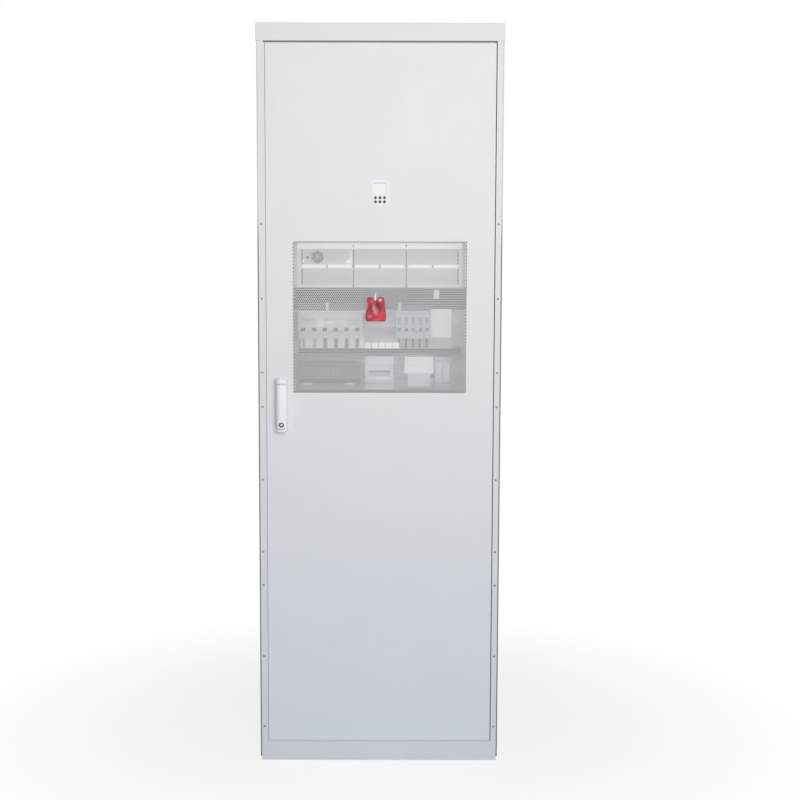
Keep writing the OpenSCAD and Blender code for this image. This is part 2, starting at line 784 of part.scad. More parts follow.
module lock_gearbox() color("darkgray") difference() {
    inner_x = rack_x + rod_d / 2 + free_gap;
    box_at([handle_x - gearbox_x, skin_y, spindle_z - gearbox_h / 2],
        [handle_x + gearbox_x, gearbox_end_y, spindle_z + gearbox_h / 2]);
    box_at([handle_x - inner_x, gear_y - gear_w / 2 - free_gap, spindle_z - gearbox_h],
        [handle_x + inner_x, gear_y + gear_w / 2 + free_gap, spindle_z + gearbox_h]);
    bar_y(spindle_d + 2 * run_gap, handle_x, skin_y - 1, gear_y, spindle_z);
    bar_y(journal_d + 2 * run_gap, handle_x, gear_y, gearbox_end_y + 1, spindle_z);
}

// Rack rails and rectifiers

// Right-hand angle with one hole for each rack unit
module rack_rail() {
    foot_z = tray2_z + post_t;
    difference() {
        translate([0, 0, foot_z]) linear_extrude(cap_z - foot_z) {
            translate([rail_face_x, rack_y]) square([rail_angle_w, post_t]);
            translate([rail_face_x + rail_angle_w - post_t, rack_y]) square([post_t, rail_leg]);
        }
        for (z = [foot_z + rail_unit : rail_unit : cap_z - rail_unit / 2])
            bar_y(rail_hole_d, rail_hole_x, rack_y - 1, rack_y + post_t + 1, z);
    }
}

module right_rack_rail() color("silver") rack_rail();

module left_rack_rail() color("silver") mirror([1, 0, 0]) rack_rail();

module rectifier_shelf() color("white") difference() {
    union() {
        box_at([-shelf_w / 2, shelf_y, shelf_z], [shelf_w / 2, rack_y + shelf_d, shelf_z + shelf_h]);
        box_at([-ear_x, shelf_y, shelf_z], [ear_x, rack_y, shelf_z + shelf_h]);
    }
    for (x = module_x, z = module_z)
        box_at([x - module_w / 2 - cell_gap, shelf_y - 1, z - cell_gap],
            [x + module_w / 2 + cell_gap, rack_y + shelf_d - cell_back, z + module_h + cell_gap]);
}

// One rectifier in the upper left cell, with a bored fan chamber, a pull handle and a latch
module rectifier_case() color("gainsboro") {
    x = module_x[0];
    z = module_z[1];
    chamber_end = fan_y + fan_depth + 2;
    difference() {
        box_at([x - module_w / 2, shelf_y, z], [x + module_w / 2, rack_y + shelf_d - cell_back - cell_gap,
            z + module_h]);
        bar_y(fan_d + 2, fan_x, shelf_y - 1, chamber_end, fan_z);
    }
    bar_y(fan_pin_d, fan_x, fan_y + 1, chamber_end + 1, fan_z);
    difference() {
        box_at([x + pull_x, shelf_y - pull_out, fan_z - pull_h / 2],
            [x + pull_x + pull_w, shelf_y, fan_z + pull_h / 2]);
        box_at([x + pull_x + pull_t, shelf_y - pull_out + pull_t, fan_z - pull_h],
            [x + pull_x + pull_w - pull_t, shelf_y + 1, fan_z + pull_h]);
    }
    box_at([x + module_w / 2 - latch_w - 1, shelf_y - latch_out, fan_z - 1],
        [x + module_w / 2 - 1, shelf_y, z + module_h - 2]);
}

// Wire guard: an outer ring, six round petals and a middle disc
module fan_guard() color("gray") plate_y(shelf_y - guard_wire, shelf_y) translate([fan_x, fan_z]) {
    difference() {
        circle(d = fan_d + 5);
        circle(d = fan_d + 5 - 4 * guard_wire);
    }
    circle(d = fan_d / 4);
    for (i = [0 : 5]) rotate(60 * i) translate([fan_d / 4 + guard_wire, 0]) difference() {
        circle(d = fan_d / 2 + guard_wire);
        circle(d = fan_d / 2 - guard_wire);
    }
}

// Seven pitched blades on a hub that runs on the chamber's pin
module fan_rotor() color("dimgray") difference() {
    tip_r = fan_d / 2 - 1;
    union() {
        bar_y(fan_hub_d, fan_x, fan_y, fan_y + fan_depth, fan_z);
        intersection() {
            bar_y(2 * tip_r, fan_x, fan_y, fan_y + fan_depth, fan_z);
            for (i = [0 : 6])
                translate([fan_x, fan_y + fan_depth / 2, fan_z]) rotate([0, i * 360 / 7, 0])
                    translate([0, 0, fan_hub_d / 2 - 1]) rotate([0, 0, blade_pitch])
                    translate([-blade_t / 2, -fan_depth, 0]) cube([blade_t, 2 * fan_depth, tip_r]);
        }
    }
    bar_y(fan_pin_d + 2 * run_gap, fan_x, fan_y - 1, fan_y + fan_depth + 1, fan_z);
}

// Folded blank covers in the cells that hold no rectifier
module blank_panels() color("gainsboro") for (ix = [0 : 2], iz = [0 : 1]) if (ix > 0 || iz == 0)
    translate([module_x[ix], shelf_y, module_z[iz]]) difference() {
        box_at([-module_w / 2, 0, 0], [module_w / 2, blank_d, module_h]);
        box_at([-module_w / 2 + sheet_t, sheet_t, sheet_t],
            [module_w / 2 - sheet_t, blank_d + 1, module_h - sheet_t]);
    }

// Distribution

// Folded chassis with ears on the rack rails
module distribution_panel() color("gainsboro") translate([0, 0, chassis_z0])
    linear_extrude(shelf_z - chassis_gap - chassis_z0) {
        translate([-chassis_x, chassis_y]) square([2 * chassis_x, ear_t]);
        for (s = [0, 1]) mirror([s, 0]) {
            translate([chassis_x - ear_t, shelf_y]) square([ear_t, chassis_y - shelf_y + ear_t]);
            translate([chassis_x - ear_t, shelf_y]) square([ear_x - chassis_x + ear_t, ear_t]);
        }
    }

module din_rails() color("silver") for (z = [row1_z, row2_z])
    profile_x(-din_half_w, din_half_w) translate([0, z]) {
        translate([chassis_y - din_t, -din_web_h / 2]) square([din_t, din_web_h]);
        for (s = [0, 1]) mirror([0, s]) translate([breaker_y, din_web_h / 2 - din_t]) {
            square([din_d, din_t]);
            square([din_t, (din_h - din_web_h) / 2 + din_t]);
        }
    }

// Breaker body on the rail at row_z, with a chamber for its toggle
module breaker(x, w, row_z, toggle_w) difference() {
    slot = toggle_w / 2 + free_gap;
    profile_x(x - w / 2 + body_gap, x + w / 2 - body_gap) translate([breaker_y, row_z]) {
        translate([-shoulder_d, -breaker_h / 2]) square([shoulder_d, breaker_h]);
        translate([-nose_d, -nose_h / 2]) square([nose_d, nose_h]);
    }
    bar_x(2 * (toggle_r + free_gap), x - slot, x + slot, toggle_y, row_z);
    box_at([x - slot, breaker_y - nose_d - 1, row_z - toggle_slot / 2],
        [x + slot, toggle_y, row_z + toggle_slot / 2]);
}

module toggle(x, w, row_z) translate([x, toggle_y, row_z]) rotate([-toggle_tilt, 0, 0]) {
    bar_x(2 * toggle_r, -w / 2, w / 2, 0, 0);
    box_at([-w / 2, -toggle_len, -toggle_t / 2], [w / 2, 0, toggle_t / 2]);
}

module battery_breakers() color("gainsboro") for (x = battery_x)
    breaker(x, 2 * battery_pole_w, row1_z, battery_toggle_w);

module load_breakers() color("slategray") for (x = load_x)
    breaker(x, load_pole_w, row1_z, load_toggle_w);

module input_breaker() color("white") breaker(input_x, input_w, row2_z, input_toggle_w);

module battery_toggle(i) color("dimgray") toggle(battery_x[i - 1], battery_toggle_w, row1_z);

module load_toggle(i) color("dimgray") toggle(load_x[i - 1], load_toggle_w, row1_z);

module input_toggle() color("dimgray") toggle(input_x, input_toggle_w, row2_z);

// Straight leads from the upper breakers down to the duct
module breaker_leads() color("dimgray") {
    low_z = duct_z + duct_h;
    len_z = row1_z - breaker_h / 2 - low_z;
    for (x = battery_x, s = [-1, 1])
        translate([x + s * battery_pole_w / 2, lead_y, low_z]) cylinder(d = battery_lead_d, h = len_z);
    for (x = load_x) translate([x, lead_y, low_z]) cylinder(d = load_lead_d, h = len_z);
}

// Closed duct with a comb of slots along the front of its top
module wire_duct() color("dimgray") difference() {
    front = chassis_y - duct_d;
    box_at([-din_half_w, front, duct_z], [din_half_w, chassis_y, duct_z + duct_h]);
    box_at([-din_half_w - 1, front + sheet_t, duct_z + sheet_t],
        [din_half_w + 1, chassis_y - sheet_t, duct_z + duct_h - sheet_t]);
    for (x = [-din_half_w + duct_slot_pitch / 2 : duct_slot_pitch : din_half_w - duct_slot_w])
        box_at([x - duct_slot_w / 2, front - 1, duct_z + duct_h / 2],
            [x + duct_slot_w / 2, front + duct_slot_d, duct_z + duct_h + 1]);
}

// Row of terminal blocks, each sloped back above and below its front
module terminal_blocks() color("dimgray") for (i = [0 : terminal_count - 1]) {
    x = -din_half_w + i * terminal_pitch;
    slope = (terminal_h - terminal_front_h) / 2;
    profile_x(x, x + terminal_w) translate([breaker_y, row2_z]) for (s = [0, 1]) mirror([0, s])
        polygon([[0, -1], [0, terminal_h / 2], [-terminal_shoulder, terminal_h / 2],
            [-terminal_shoulder - slope, terminal_front_h / 2], [-terminal_d, terminal_front_h / 2],
            [-terminal_d, -1]]);
}

// Contactor with a tapered arc chamber over its coil block
module contactor() color("whitesmoke") translate([contactor_x, 0, row2_z]) {
    plate_y(breaker_y - nose_d + coil_step, breaker_y) polygon([[0, 0], [contactor_w, 0],
        [contactor_w - contactor_taper, contactor_h], [contactor_taper, contactor_h]]);
    plate_y(breaker_y - nose_d, breaker_y) translate([(contactor_w - coil_w) / 2, -coil_h])
        square([coil_w, coil_h + 1]);
}

// Two plug-in cartridges with round caps on a common base
module surge_arrester() color("white") translate([arrester_x, 0, row2_z]) {
    front = breaker_y - nose_d;
    profile_x(0, arrester_w) translate([breaker_y - shoulder_d, -arrester_h / 2])
        square([shoulder_d, arrester_h]);
    for (x = [arrester_w / 4, arrester_w * 3 / 4]) {
        profile_x(x - cartridge_w / 2, x + cartridge_w / 2) translate([front, -cartridge_low])
            square([nose_d, cartridge_h]);
        bar_y(cartridge_cap_d, x, front - cartridge_cap_out, front + 1, cartridge_low);
    }
}

// Flat shelves between the posts, their edges folded down all round
module battery_trays() color("silver") for (z = [tray1_z, tray2_z]) difference() {
    box_at([-tray_x, tray_y0, z + post_t - tray_rim], [tray_x, tray_y1, z + post_t]);
    box_at([-tray_x + post_t, tray_y0 + post_t, z - tray_rim], [tray_x - post_t, tray_y1 - post_t, z]);
}

// Tied bag of small parts hung on the door: a full pouch, two gathered lobes, and a tie that loops
// round one upright web of the perforated sheet
module accessory_bag() color("firebrick") translate([bag_x, front_y - free_gap, bag_tie_z]) {
    loop_x = vent_web / 2 + free_gap;
    loop_y = sheet_t + 2 * free_gap;
    translate([0, 0, -bag_drop]) {
        hull() for (s = [-1, 1], p = [[pouch_half_w, pouch_r], [shoulder_x, pouch_top]])
            translate([s * p[0], -pouch_r, p[1]]) sphere(r = pouch_r, $fn = 24);
        for (s = [-1, 1]) hull() {
            translate([s * neck_x, -neck_r, neck_z]) sphere(r = neck_r, $fn = 16);
            translate([s * lobe_x, -lobe_r, lobe_z]) sphere(r = lobe_r, $fn = 16);
            translate([s * neck_x, -pouch_r, pouch_top]) sphere(r = neck_r, $fn = 16);
        }
    }
    box_at([-tie_w / 2, -tie_t, neck_z - bag_drop], [tie_w / 2, 0, tie_w / 2]);
    difference() {
        box_at([-loop_x - tie_t, -tie_t, -tie_w / 2], [loop_x + tie_t, loop_y + tie_t, tie_w / 2]);
        box_at([-loop_x, 0, -tie_w], [loop_x, loop_y, tie_w]);
    }
}

base_frame();
gland_plate();
front_left_post();
front_right_post();
rear_left_post();
rear_right_post();
top_frame();
top_cover();
left_side_panel();
right_side_panel();
rear_panel();
panel_screws();
left_rack_rail();
right_rack_rail();
rectifier_shelf();
rectifier_case();
fan_guard();
blank_panels();
distribution_panel();
din_rails();
battery_breakers();
load_breakers();
breaker_leads();
wire_duct();
input_breaker();
terminal_blocks();
contactor();
surge_arrester();
battery_trays();
hinge_bushes();
accessory_bag();
door_skin();
door_stiffeners();
door_gasket();
hinge_pins();
display_housing();
display_lens();
handle_base();
lock_gearbox();
handle_spindle();
handle_lever();
lock_cylinder();
upper_rod();
lower_rod();
fan_rotor();
input_toggle();
for (i = [1 : 6])
    key(i);
for (i = [1 : 3])
    battery_toggle(i);
for (i = [1 : 5])
    load_toggle(i);
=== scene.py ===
import math

import bmesh
import bpy
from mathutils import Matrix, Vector


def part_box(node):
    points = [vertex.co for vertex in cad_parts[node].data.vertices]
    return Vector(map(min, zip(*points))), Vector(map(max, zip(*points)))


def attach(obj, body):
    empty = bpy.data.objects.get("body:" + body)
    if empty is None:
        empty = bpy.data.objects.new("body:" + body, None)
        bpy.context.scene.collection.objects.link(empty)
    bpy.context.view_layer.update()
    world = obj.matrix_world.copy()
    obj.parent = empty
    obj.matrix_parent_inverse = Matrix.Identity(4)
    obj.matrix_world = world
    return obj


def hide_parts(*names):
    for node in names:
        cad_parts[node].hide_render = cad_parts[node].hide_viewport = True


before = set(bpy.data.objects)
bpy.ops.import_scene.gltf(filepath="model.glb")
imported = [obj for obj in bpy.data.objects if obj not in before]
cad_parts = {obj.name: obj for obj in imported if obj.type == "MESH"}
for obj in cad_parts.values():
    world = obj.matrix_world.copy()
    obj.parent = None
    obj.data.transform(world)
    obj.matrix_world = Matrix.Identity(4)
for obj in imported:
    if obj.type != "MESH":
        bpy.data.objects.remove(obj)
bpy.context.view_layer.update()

# The room: a camera four metres in front at eye height, looking a little down, on a pale floor
# that fades into a white surround. One wide soft lamp hangs high in front, so the cabinet is
# brighter above than below, and the surround fills the shadows.
scene = bpy.context.scene
scene.view_settings.view_transform = "Standard"


class Wire:
    """A socket of a node tree: arithmetic on wires adds Math nodes, make() adds any other node."""

    def __init__(self, tree, socket=None):
        self.tree = tree
        self.socket = socket

    def make(self, kind, settings=None, inputs=None, output=0):
        made = self.tree.nodes.new(kind)
        for name, value in (settings or {}).items():
            setattr(made, name, value)
        for name, value in (inputs or {}).items():
            if isinstance(value, Wire):
                self.tree.links.new(value.socket, made.inputs[name])
            else:
                made.inputs[name].default_value = value
        return Wire(self.tree, made.outputs[output] if len(made.outputs) else None)

    def maths(self, operation, *values):
        return self.make("ShaderNodeMath", {"operation": operation}, dict(enumerate(values)))

    def __add__(self, other):
        return self.maths("ADD", self, other)

    def __sub__(self, other):
        return self.maths("SUBTRACT", self, other)

    def __rsub__(self, other):
        return self.maths("SUBTRACT", other, self)

    def __mul__(self, other):
        return self.maths("MULTIPLY", self, other)

    def __truediv__(self, other):
        return self.maths("DIVIDE", self, other)


def srgb(red, green, blue):
    """A colour given as screen values from 0 to 255, in Blender's linear light."""
    def linear(value):
        value /= 255
        return value / 12.92 if value <= 0.04045 else ((value + 0.055) / 1.055) ** 2.4
    return (linear(red), linear(green), linear(blue), 1)


camera_data = bpy.data.cameras.new("camera")
camera_data.lens = 73.6
camera_data.sensor_width = 36
camera_data.shift_x = 0.025
camera = bpy.data.objects.new("camera", camera_data)
camera.location = (0, -4.30, 1.41)
camera.rotation_euler = (math.radians(83), math.radians(-0.12), 0)
scene.collection.objects.link(camera)
scene.camera = camera

lamp_data = bpy.data.lights.new("soft_lamp", "AREA")
lamp_data.shape = "RECTANGLE"
lamp_data.size = 1.8
lamp_data.size_y = 1.4
lamp_data.energy = 39
lamp_data.color = (1, 0.972, 0.95)
lamp = bpy.data.objects.new("soft_lamp", lamp_data)
lamp.location = (0.28, -2.7, 1.8)
lamp.rotation_euler = (Vector((0, -0.3, 1.35)) - lamp.location).to_track_quat("-Z", "Y").to_euler()
scene.collection.objects.link(lamp)

surround = bpy.data.worlds.new("surround")
surround.use_nodes = True
surround.node_tree.nodes.clear()
air = Wire(surround.node_tree)


def looked_at(tree):
    """1 for a ray that comes from the camera, straight or by way of metal or glass, and 0 for others."""
    path = tree.nodes.new("ShaderNodeLightPath")
    seen = Wire(tree, path.outputs["Is Camera Ray"])
    for kind in ("Is Transmission Ray", "Is Glossy Ray"):
        seen = seen.maths("MAXIMUM", seen, Wire(tree, path.outputs[kind]))
    return seen


fill_light = air.make("ShaderNodeBackground", None, {"Color": (0.87, 0.94, 1, 1), "Strength": 0.345})
white_light = air.make("ShaderNodeBackground", None, {"Color": (1, 1, 1, 1), "Strength": 1})
sky = air.make("ShaderNodeMixShader", None,
               {0: looked_at(surround.node_tree), 1: fill_light, 2: white_light})
air.make("ShaderNodeOutputWorld", None, {"Surface": sky})
scene.world = surround

floor_mesh = bpy.data.meshes.new("floor")
floor_shape = bmesh.new()
bmesh.ops.create_circle(floor_shape, cap_ends=True, segments=96, radius=3.4)
floor_shape.to_mesh(floor_mesh)
floor_shape.free()
floor = bpy.data.objects.new("floor", floor_mesh)
scene.collection.objects.link(floor)
floor_material = bpy.data.materials.new("pale_floor")
floor_material.use_nodes = True
floor_material.node_tree.nodes.clear()
ground = Wire(floor_material.node_tree)
place = ground.make("ShaderNodeTexCoord", None, None, "Object")
reach = ground.make("ShaderNodeVectorMath", {"operation": "LENGTH"}, {0: place}, "Value")
fade = ground.make("ShaderNodeMapRange", {"interpolation_type": "SMOOTHSTEP"},
                   {"Value": reach, "From Min": 0.4, "From Max": 1.3, "To Min": 0.8, "To Max": 1.0})
matt = ground.make("ShaderNodeBsdfDiffuse", None, {"Color": srgb(246, 246, 247)})
glow = ground.make("ShaderNodeEmission", None, {"Color": (1, 1, 1, 1), "Strength": 1})
floor_finish = ground.make("ShaderNodeMixShader", None,
                           {0: fade * looked_at(floor_material.node_tree), 1: matt, 2: glow})
ground.make("ShaderNodeOutputMaterial", None, {"Surface": floor_finish})
floor_mesh.materials.append(floor_material)

# The welded frame: base ring, four folded posts and top ring, in steel sheet with a light grey
# powder coat. The coat has the faint orange peel and slight cloudiness of baked powder.
MM = 0.001


def finish_of(name):
    """A new material, with its wires and its principled shader."""
    material = bpy.data.materials.new(name)
    material.use_nodes = True
    tree = material.node_tree
    tree.nodes.clear()
    shader = tree.nodes.new("ShaderNodeBsdfPrincipled")
    output = tree.nodes.new("ShaderNodeOutputMaterial")
    tree.links.new(shader.outputs[0], output.inputs["Surface"])
    return material, Wire(tree), shader


def feed(wires, shader, name, value):
    """Joins a wire to a shader's socket."""
    wires.tree.links.new(value.socket, shader.inputs[name])


def mixed(wires, factor, first, second):
    """A colour between two others."""
    return wires.make("ShaderNodeMix", {"data_type": "RGBA"}, {0: factor, 6: first, 7: second}, 2)


def noise(wires, size, detail=2.0, stretch=(1, 1, 1)):
    """Noise between 0 and 1 whose cells measure size metres on the piece."""
    spot = wires.make("ShaderNodeTexCoord", None, None, "Object")
    spot = wires.make("ShaderNodeMapping", None, {"Vector": spot, "Scale": stretch})
    return wires.make("ShaderNodeTexNoise", None, {"Vector": spot, "Scale": 1 / size, "Detail": detail})


def bumped(wires, shader, height, depth):
    """Raises the surface by a height field of the given depth in metres."""
    bump = wires.make("ShaderNodeBump", None, {"Height": height, "Distance": depth, "Strength": 1})
    feed(wires, shader, "Normal", bump)


def place_of(wires):
    """Wires for the three object coordinates, X, Y and Z."""
    spot = wires.make("ShaderNodeTexCoord", None, None, "Object")
    parts = wires.make("ShaderNodeSeparateXYZ", None, {0: spot}).socket.node
    return [Wire(wires.tree, parts.outputs[axis]) for axis in "XYZ"]


def step_up(wires, value, level, soft):
    """0 below a level and 1 above it, over a short soft edge."""
    return wires.make("ShaderNodeMapRange", {"interpolation_type": "SMOOTHSTEP"}, {
        "Value": value, "From Min": level - soft, "From Max": level + soft})


low_shade_level = 0.62
low_shade_soft = 0.55


def powder_coat(name, colour, roughness=0.46, peel=1.6 * MM, depth=0.03 * MM, shaded_low_colour=None):
    """Baked powder: clouds of slightly lighter and darker colour over a fine orange peel.
    A large piece may be painted a little cooler low down than high up, as painted shade."""
    material, wires, shader = finish_of(name)
    if shaded_low_colour:
        height = place_of(wires)[2]
        colour = mixed(wires, step_up(wires, height, low_shade_level, low_shade_soft), shaded_low_colour, colour)
    dark = mixed(wires, 0.045, colour, (0, 0, 0, 1))
    clouds = noise(wires, 0.16, 3)
    feed(wires, shader, "Base Color", mixed(wires, clouds, dark, colour))
    feed(wires, shader, "Roughness", noise(wires, 0.05) * 0.1 + (roughness - 0.05))
    bumped(wires, shader, noise(wires, peel, 1), depth)
    return material


def dress(material, *names):
    """Gives CAD nodes a finish."""
    for name in names:
        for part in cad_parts[name].material_slots:
            part.material = material


# The body coat turns a little cooler and bluer towards the bottom: painted shade.
body_coat = powder_coat("body_coat", srgb(226, 227, 229), shaded_low_colour=srgb(222, 227, 232))
dress(body_coat, "base_frame", "front_left_post", "front_right_post", "rear_left_post",
      "rear_right_post", "top_frame")

# The top cover: one sheet folded down on four sides over the top frame, with small fold radii.
# It carries the same powder coat as the body.


def span(name):
    """A node's lowest and highest corners."""
    low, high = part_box(name)
    return Vector(low), Vector(high)


def new_piece(name, shape, material, body):
    """A finished mesh as an object that rides on a body."""
    mesh = bpy.data.meshes.new(name)
    shape.to_mesh(mesh)
    shape.free()
    piece = bpy.data.objects.new(name, mesh)
    scene.collection.objects.link(piece)
    mesh.materials.append(material)
    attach(piece, body)
    return piece


def settle(piece):
    """Applies a piece's modifiers to its mesh."""
    graph = bpy.context.evaluated_depsgraph_get()
    done = bpy.data.meshes.new_from_object(piece.evaluated_get(graph))
    piece.modifiers.clear()
    piece.data = done
    return piece


def bevelled(piece, width, segments=2):
    """Rounds a piece's edges and applies the rounding."""
    rounding = piece.modifiers.new("rounding", "BEVEL")
    rounding.width = width
    rounding.segments = segments
    rounding.limit_method = "ANGLE"
    rounding.angle_limit = math.radians(40)
    return settle(piece)


def cad_copy(name):
    """A node's own mesh with its triangles joined up, for finishing."""
    shape = bmesh.new()
    shape.from_mesh(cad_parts[name].data)
    bmesh.ops.remove_doubles(shape, verts=shape.verts, dist=1e-5)
    bmesh.ops.dissolve_limit(shape, angle_limit=math.radians(1), verts=shape.verts, edges=shape.edges)
    return shape


def rounded_copy(name, material, body, width, segments=2):
    """A node's shape with rounded edges, in place of the node."""
    piece = bevelled(new_piece(name + "_finished", cad_copy(name), material, body), width, segments)
    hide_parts(name)
    return piece


rounded_copy("top_cover", body_coat, "cabinet", 1.2 * MM, 3)

# Side and rear panels: shallow folded pans of coated sheet, hung outside the posts. The front edge of
# each side panel is painted darker, most of all in its lower part: painted shade, which shows as a thin dark
# line beside the post.


def two_tone(material, axis, level, colour, soft=0.4 * MM, far_side=False):
    """Repaints a finish beyond a level along one axis, or on both far sides of it."""
    wires = Wire(material.node_tree)
    shader = next(n for n in material.node_tree.nodes if n.type == "BSDF_PRINCIPLED")
    before = Wire(wires.tree, shader.inputs["Base Color"].links[0].from_socket)
    value = place_of(wires)["XYZ".index(axis)]
    if far_side:
        value = value.maths("ABSOLUTE", value, 0)
    feed(wires, shader, "Base Color", mixed(wires, step_up(wires, value, level, soft), before, colour))
    return material


panel_coat = powder_coat("panel_coat", srgb(214, 215, 217))
rounded_copy("rear_panel", panel_coat, "cabinet", 0.6 * MM, 2)
# Painted shade: the panels' front edges are dark grey below the given height and lighter above it.
side_coat_edge_shade = powder_coat("side_coat_edge_shade", srgb(114, 114, 117))
edge_shade_top = 1.34
edge_shade_soft = 60 * MM
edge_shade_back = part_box("left_side_panel")[0][1] + 2 * MM
two_tone(side_coat_edge_shade, "Z", edge_shade_top, srgb(206, 207, 209), edge_shade_soft)
two_tone(side_coat_edge_shade, "Y", edge_shade_back, srgb(214, 215, 217))
for panel in ("left_side_panel", "right_side_panel"):
    rounded_copy(panel, side_coat_edge_shade, "cabinet", 0.4 * MM, 2)

# Panel screws: domed heads with a hexagon socket, in dark plated steel, in three groups of three on
# each front post and along the rear panel.
dark_plate, wires, shader = finish_of("dark_plate")
feed(wires, shader, "Base Color",
     mixed(wires, noise(wires, 1.5 * MM), srgb(112, 112, 116), srgb(148, 148, 152)))
shader.inputs["Metallic"].default_value = 0.7
feed(wires, shader, "Roughness", noise(wires, 0.8 * MM) * 0.2 + 0.3)


def new_tree(name, inputs):
    """A Geometry Nodes tree with named inputs, and a wire from each."""
    tree = bpy.data.node_groups.new(name, "GeometryNodeTree")
    for label, kind in inputs:
        tree.interface.new_socket(label, in_out="INPUT", socket_type=kind)
    tree.interface.new_socket("Mesh", in_out="OUTPUT", socket_type="NodeSocketGeometry")
    start = tree.nodes.new("NodeGroupInput")
    return tree, {label: Wire(tree, start.outputs[label]) for label, kind in inputs}


def close_tree(result, material):
    """Ends a tree: instances made real, finish set, result joined to the output."""
    result = result.make("GeometryNodeRealizeInstances", None, {"Geometry": result})
    result = result.make("GeometryNodeSetMaterial", None, {"Geometry": result, "Material": material})
    result.make("NodeGroupOutput", None, {"Mesh": result})


def grown(name, tree, values, seed_mesh, body):
    """Runs a tree on a mesh and keeps the result as a plain piece on a body."""
    piece = bpy.data.objects.new(name, seed_mesh)
    scene.collection.objects.link(piece)
    growth = piece.modifiers.new("growth", "NODES")
    growth.node_group = tree
    for socket in tree.interface.items_tree:
        if socket.in_out == "INPUT" and socket.name in values:
            growth[socket.identifier] = values[socket.name]
    settle(piece)
    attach(piece, body)
    return piece


def points_mesh(name, places):
    """A mesh of loose points."""
    mesh = bpy.data.meshes.new(name)
    mesh.from_pydata([tuple(p) for p in places], [], [])
    return mesh


screw_low, screw_high = span("panel_screws")
cad_head_r = 2.5 * MM
screw_tree, screw_in = new_tree("screw_heads", [
    ("Points", "NodeSocketGeometry"), ("Head radius", "NodeSocketFloat"), ("Head height", "NodeSocketFloat")])
dome = screw_in["Points"].make("GeometryNodeMeshUVSphere", None,
                               {"Segments": 20, "Rings": 10, "Radius": screw_in["Head radius"]})
press = screw_in["Points"].make("ShaderNodeCombineXYZ", None, {
    0: 1.0, 1: screw_in["Head height"] / screw_in["Head radius"], 2: 1.0})
dome = dome.make("GeometryNodeTransform", None, {"Geometry": dome, "Scale": press})
socket_shape = screw_in["Points"].make("GeometryNodeMeshCylinder", None, {
    "Vertices": 6, "Radius": screw_in["Head radius"] * 0.45, "Depth": screw_in["Head height"] * 2.04})
socket_shape = socket_shape.make("GeometryNodeTransform", None, {
    "Geometry": socket_shape, "Rotation": (math.radians(90), 0, 0)})
head = dome.make("GeometryNodeJoinGeometry", None, {"Geometry": dome})
head.tree.links.new(socket_shape.socket, head.socket.node.inputs["Geometry"])
heads = screw_in["Points"].make("GeometryNodeInstanceOnPoints", None,
                                {"Points": screw_in["Points"], "Instance": head})
close_tree(heads, dark_plate)
screw_pitch = 182 * MM
group_gap = 85 * MM
group_step = 2 * screw_pitch + group_gap
screw_z = [screw_low.z + cad_head_r + group * group_step + i * screw_pitch
           for group in range(3) for i in range(3)]
front_x = screw_high.x - cad_head_r
rear_x = sum(corner[0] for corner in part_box("rear_right_post")) / 2
front_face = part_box("front_right_post")[0][1]
rear_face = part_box("rear_panel")[1][1]
screw_places = [(side * x, y, z) for x, y in ((front_x, front_face), (rear_x, rear_face))
                for side in (-1, 1) for z in screw_z]
screws = grown("panel_screw_heads", screw_tree, {"Head radius": 2.7 * MM, "Head height": 1 * MM},
               points_mesh("screw_points", screw_places), "cabinet")
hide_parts("panel_screws")

# The door skin: one sheet folded back on all sides into a pan with an inner lip, and punched
# straight through with a window of hexagonal holes in staggered rows. Light grey powder coat.
door_low, door_high = span("door_skin")
sheet_t = 1.5 * MM
fold_r = 2.2 * MM
lip_w = 28 * MM
hinge_edge = 1.7 * MM
# The door coat turns a little cooler and bluer towards the bottom: painted shade.
door_coat = powder_coat("door_coat", srgb(229, 230, 233), shaded_low_colour=srgb(226, 231, 237))
hole_pitch = 4.88 * MM
hole_web = 1.25 * MM
row_pitch = hole_pitch * math.sqrt(3) / 2
hole_columns = 87
hole_rows = 88
window_mid = Vector((0, 0, 1122.3 * MM))

vent_tree, vent_in = new_tree("punched_sheet", [
    ("Points", "NodeSocketGeometry"), ("Columns", "NodeSocketInt"), ("Rows", "NodeSocketInt"),
    ("First row", "NodeSocketInt"), ("Pitch", "NodeSocketFloat"), ("Web", "NodeSocketFloat")])
pitch = vent_in["Pitch"]
columns = vent_in["Columns"]
rows = vent_in["Rows"]
grid = pitch.make("GeometryNodeMeshGrid", None, {
    "Vertices X": columns, "Vertices Y": rows, "Size X": (columns - 1) * pitch,
    "Size Y": (rows - 1) * pitch * (math.sqrt(3) / 2)})
index = pitch.make("GeometryNodeInputIndex")
row = pitch.maths("MODULO", index, rows) + vent_in["First row"]
stagger = (pitch.maths("MODULO", row, 2.0) - 0.5) * pitch * 0.5
shift = pitch.make("ShaderNodeCombineXYZ", None, {0: stagger, 1: 0.0, 2: 0.0})
grid = grid.make("GeometryNodeSetPosition", None, {"Geometry": grid, "Offset": shift})
cell = pitch.make("GeometryNodeMeshCircle", {"fill_type": "NGON"},
                  {"Vertices": 6, "Radius": pitch / math.sqrt(3)})
cell = cell.make("GeometryNodeTransform", None, {"Geometry": cell, "Rotation": (0, 0, math.radians(30))})
inset = cell.tree.nodes.new("GeometryNodeExtrudeMesh")
inset.mode = "FACES"
cell.tree.links.new(cell.socket, inset.inputs["Mesh"])
inset.inputs["Offset Scale"].default_value = 0
inner = Wire(cell.tree, inset.outputs["Top"])
ring = Wire(cell.tree, inset.outputs["Mesh"])
ring = ring.make("GeometryNodeScaleElements", {"domain": "FACE"}, {
    "Geometry": ring, "Selection": inner, "Scale": 1 - vent_in["Web"] / pitch})
ring = ring.make("GeometryNodeDeleteGeometry", {"domain": "FACE"}, {"Geometry": ring, "Selection": inner})
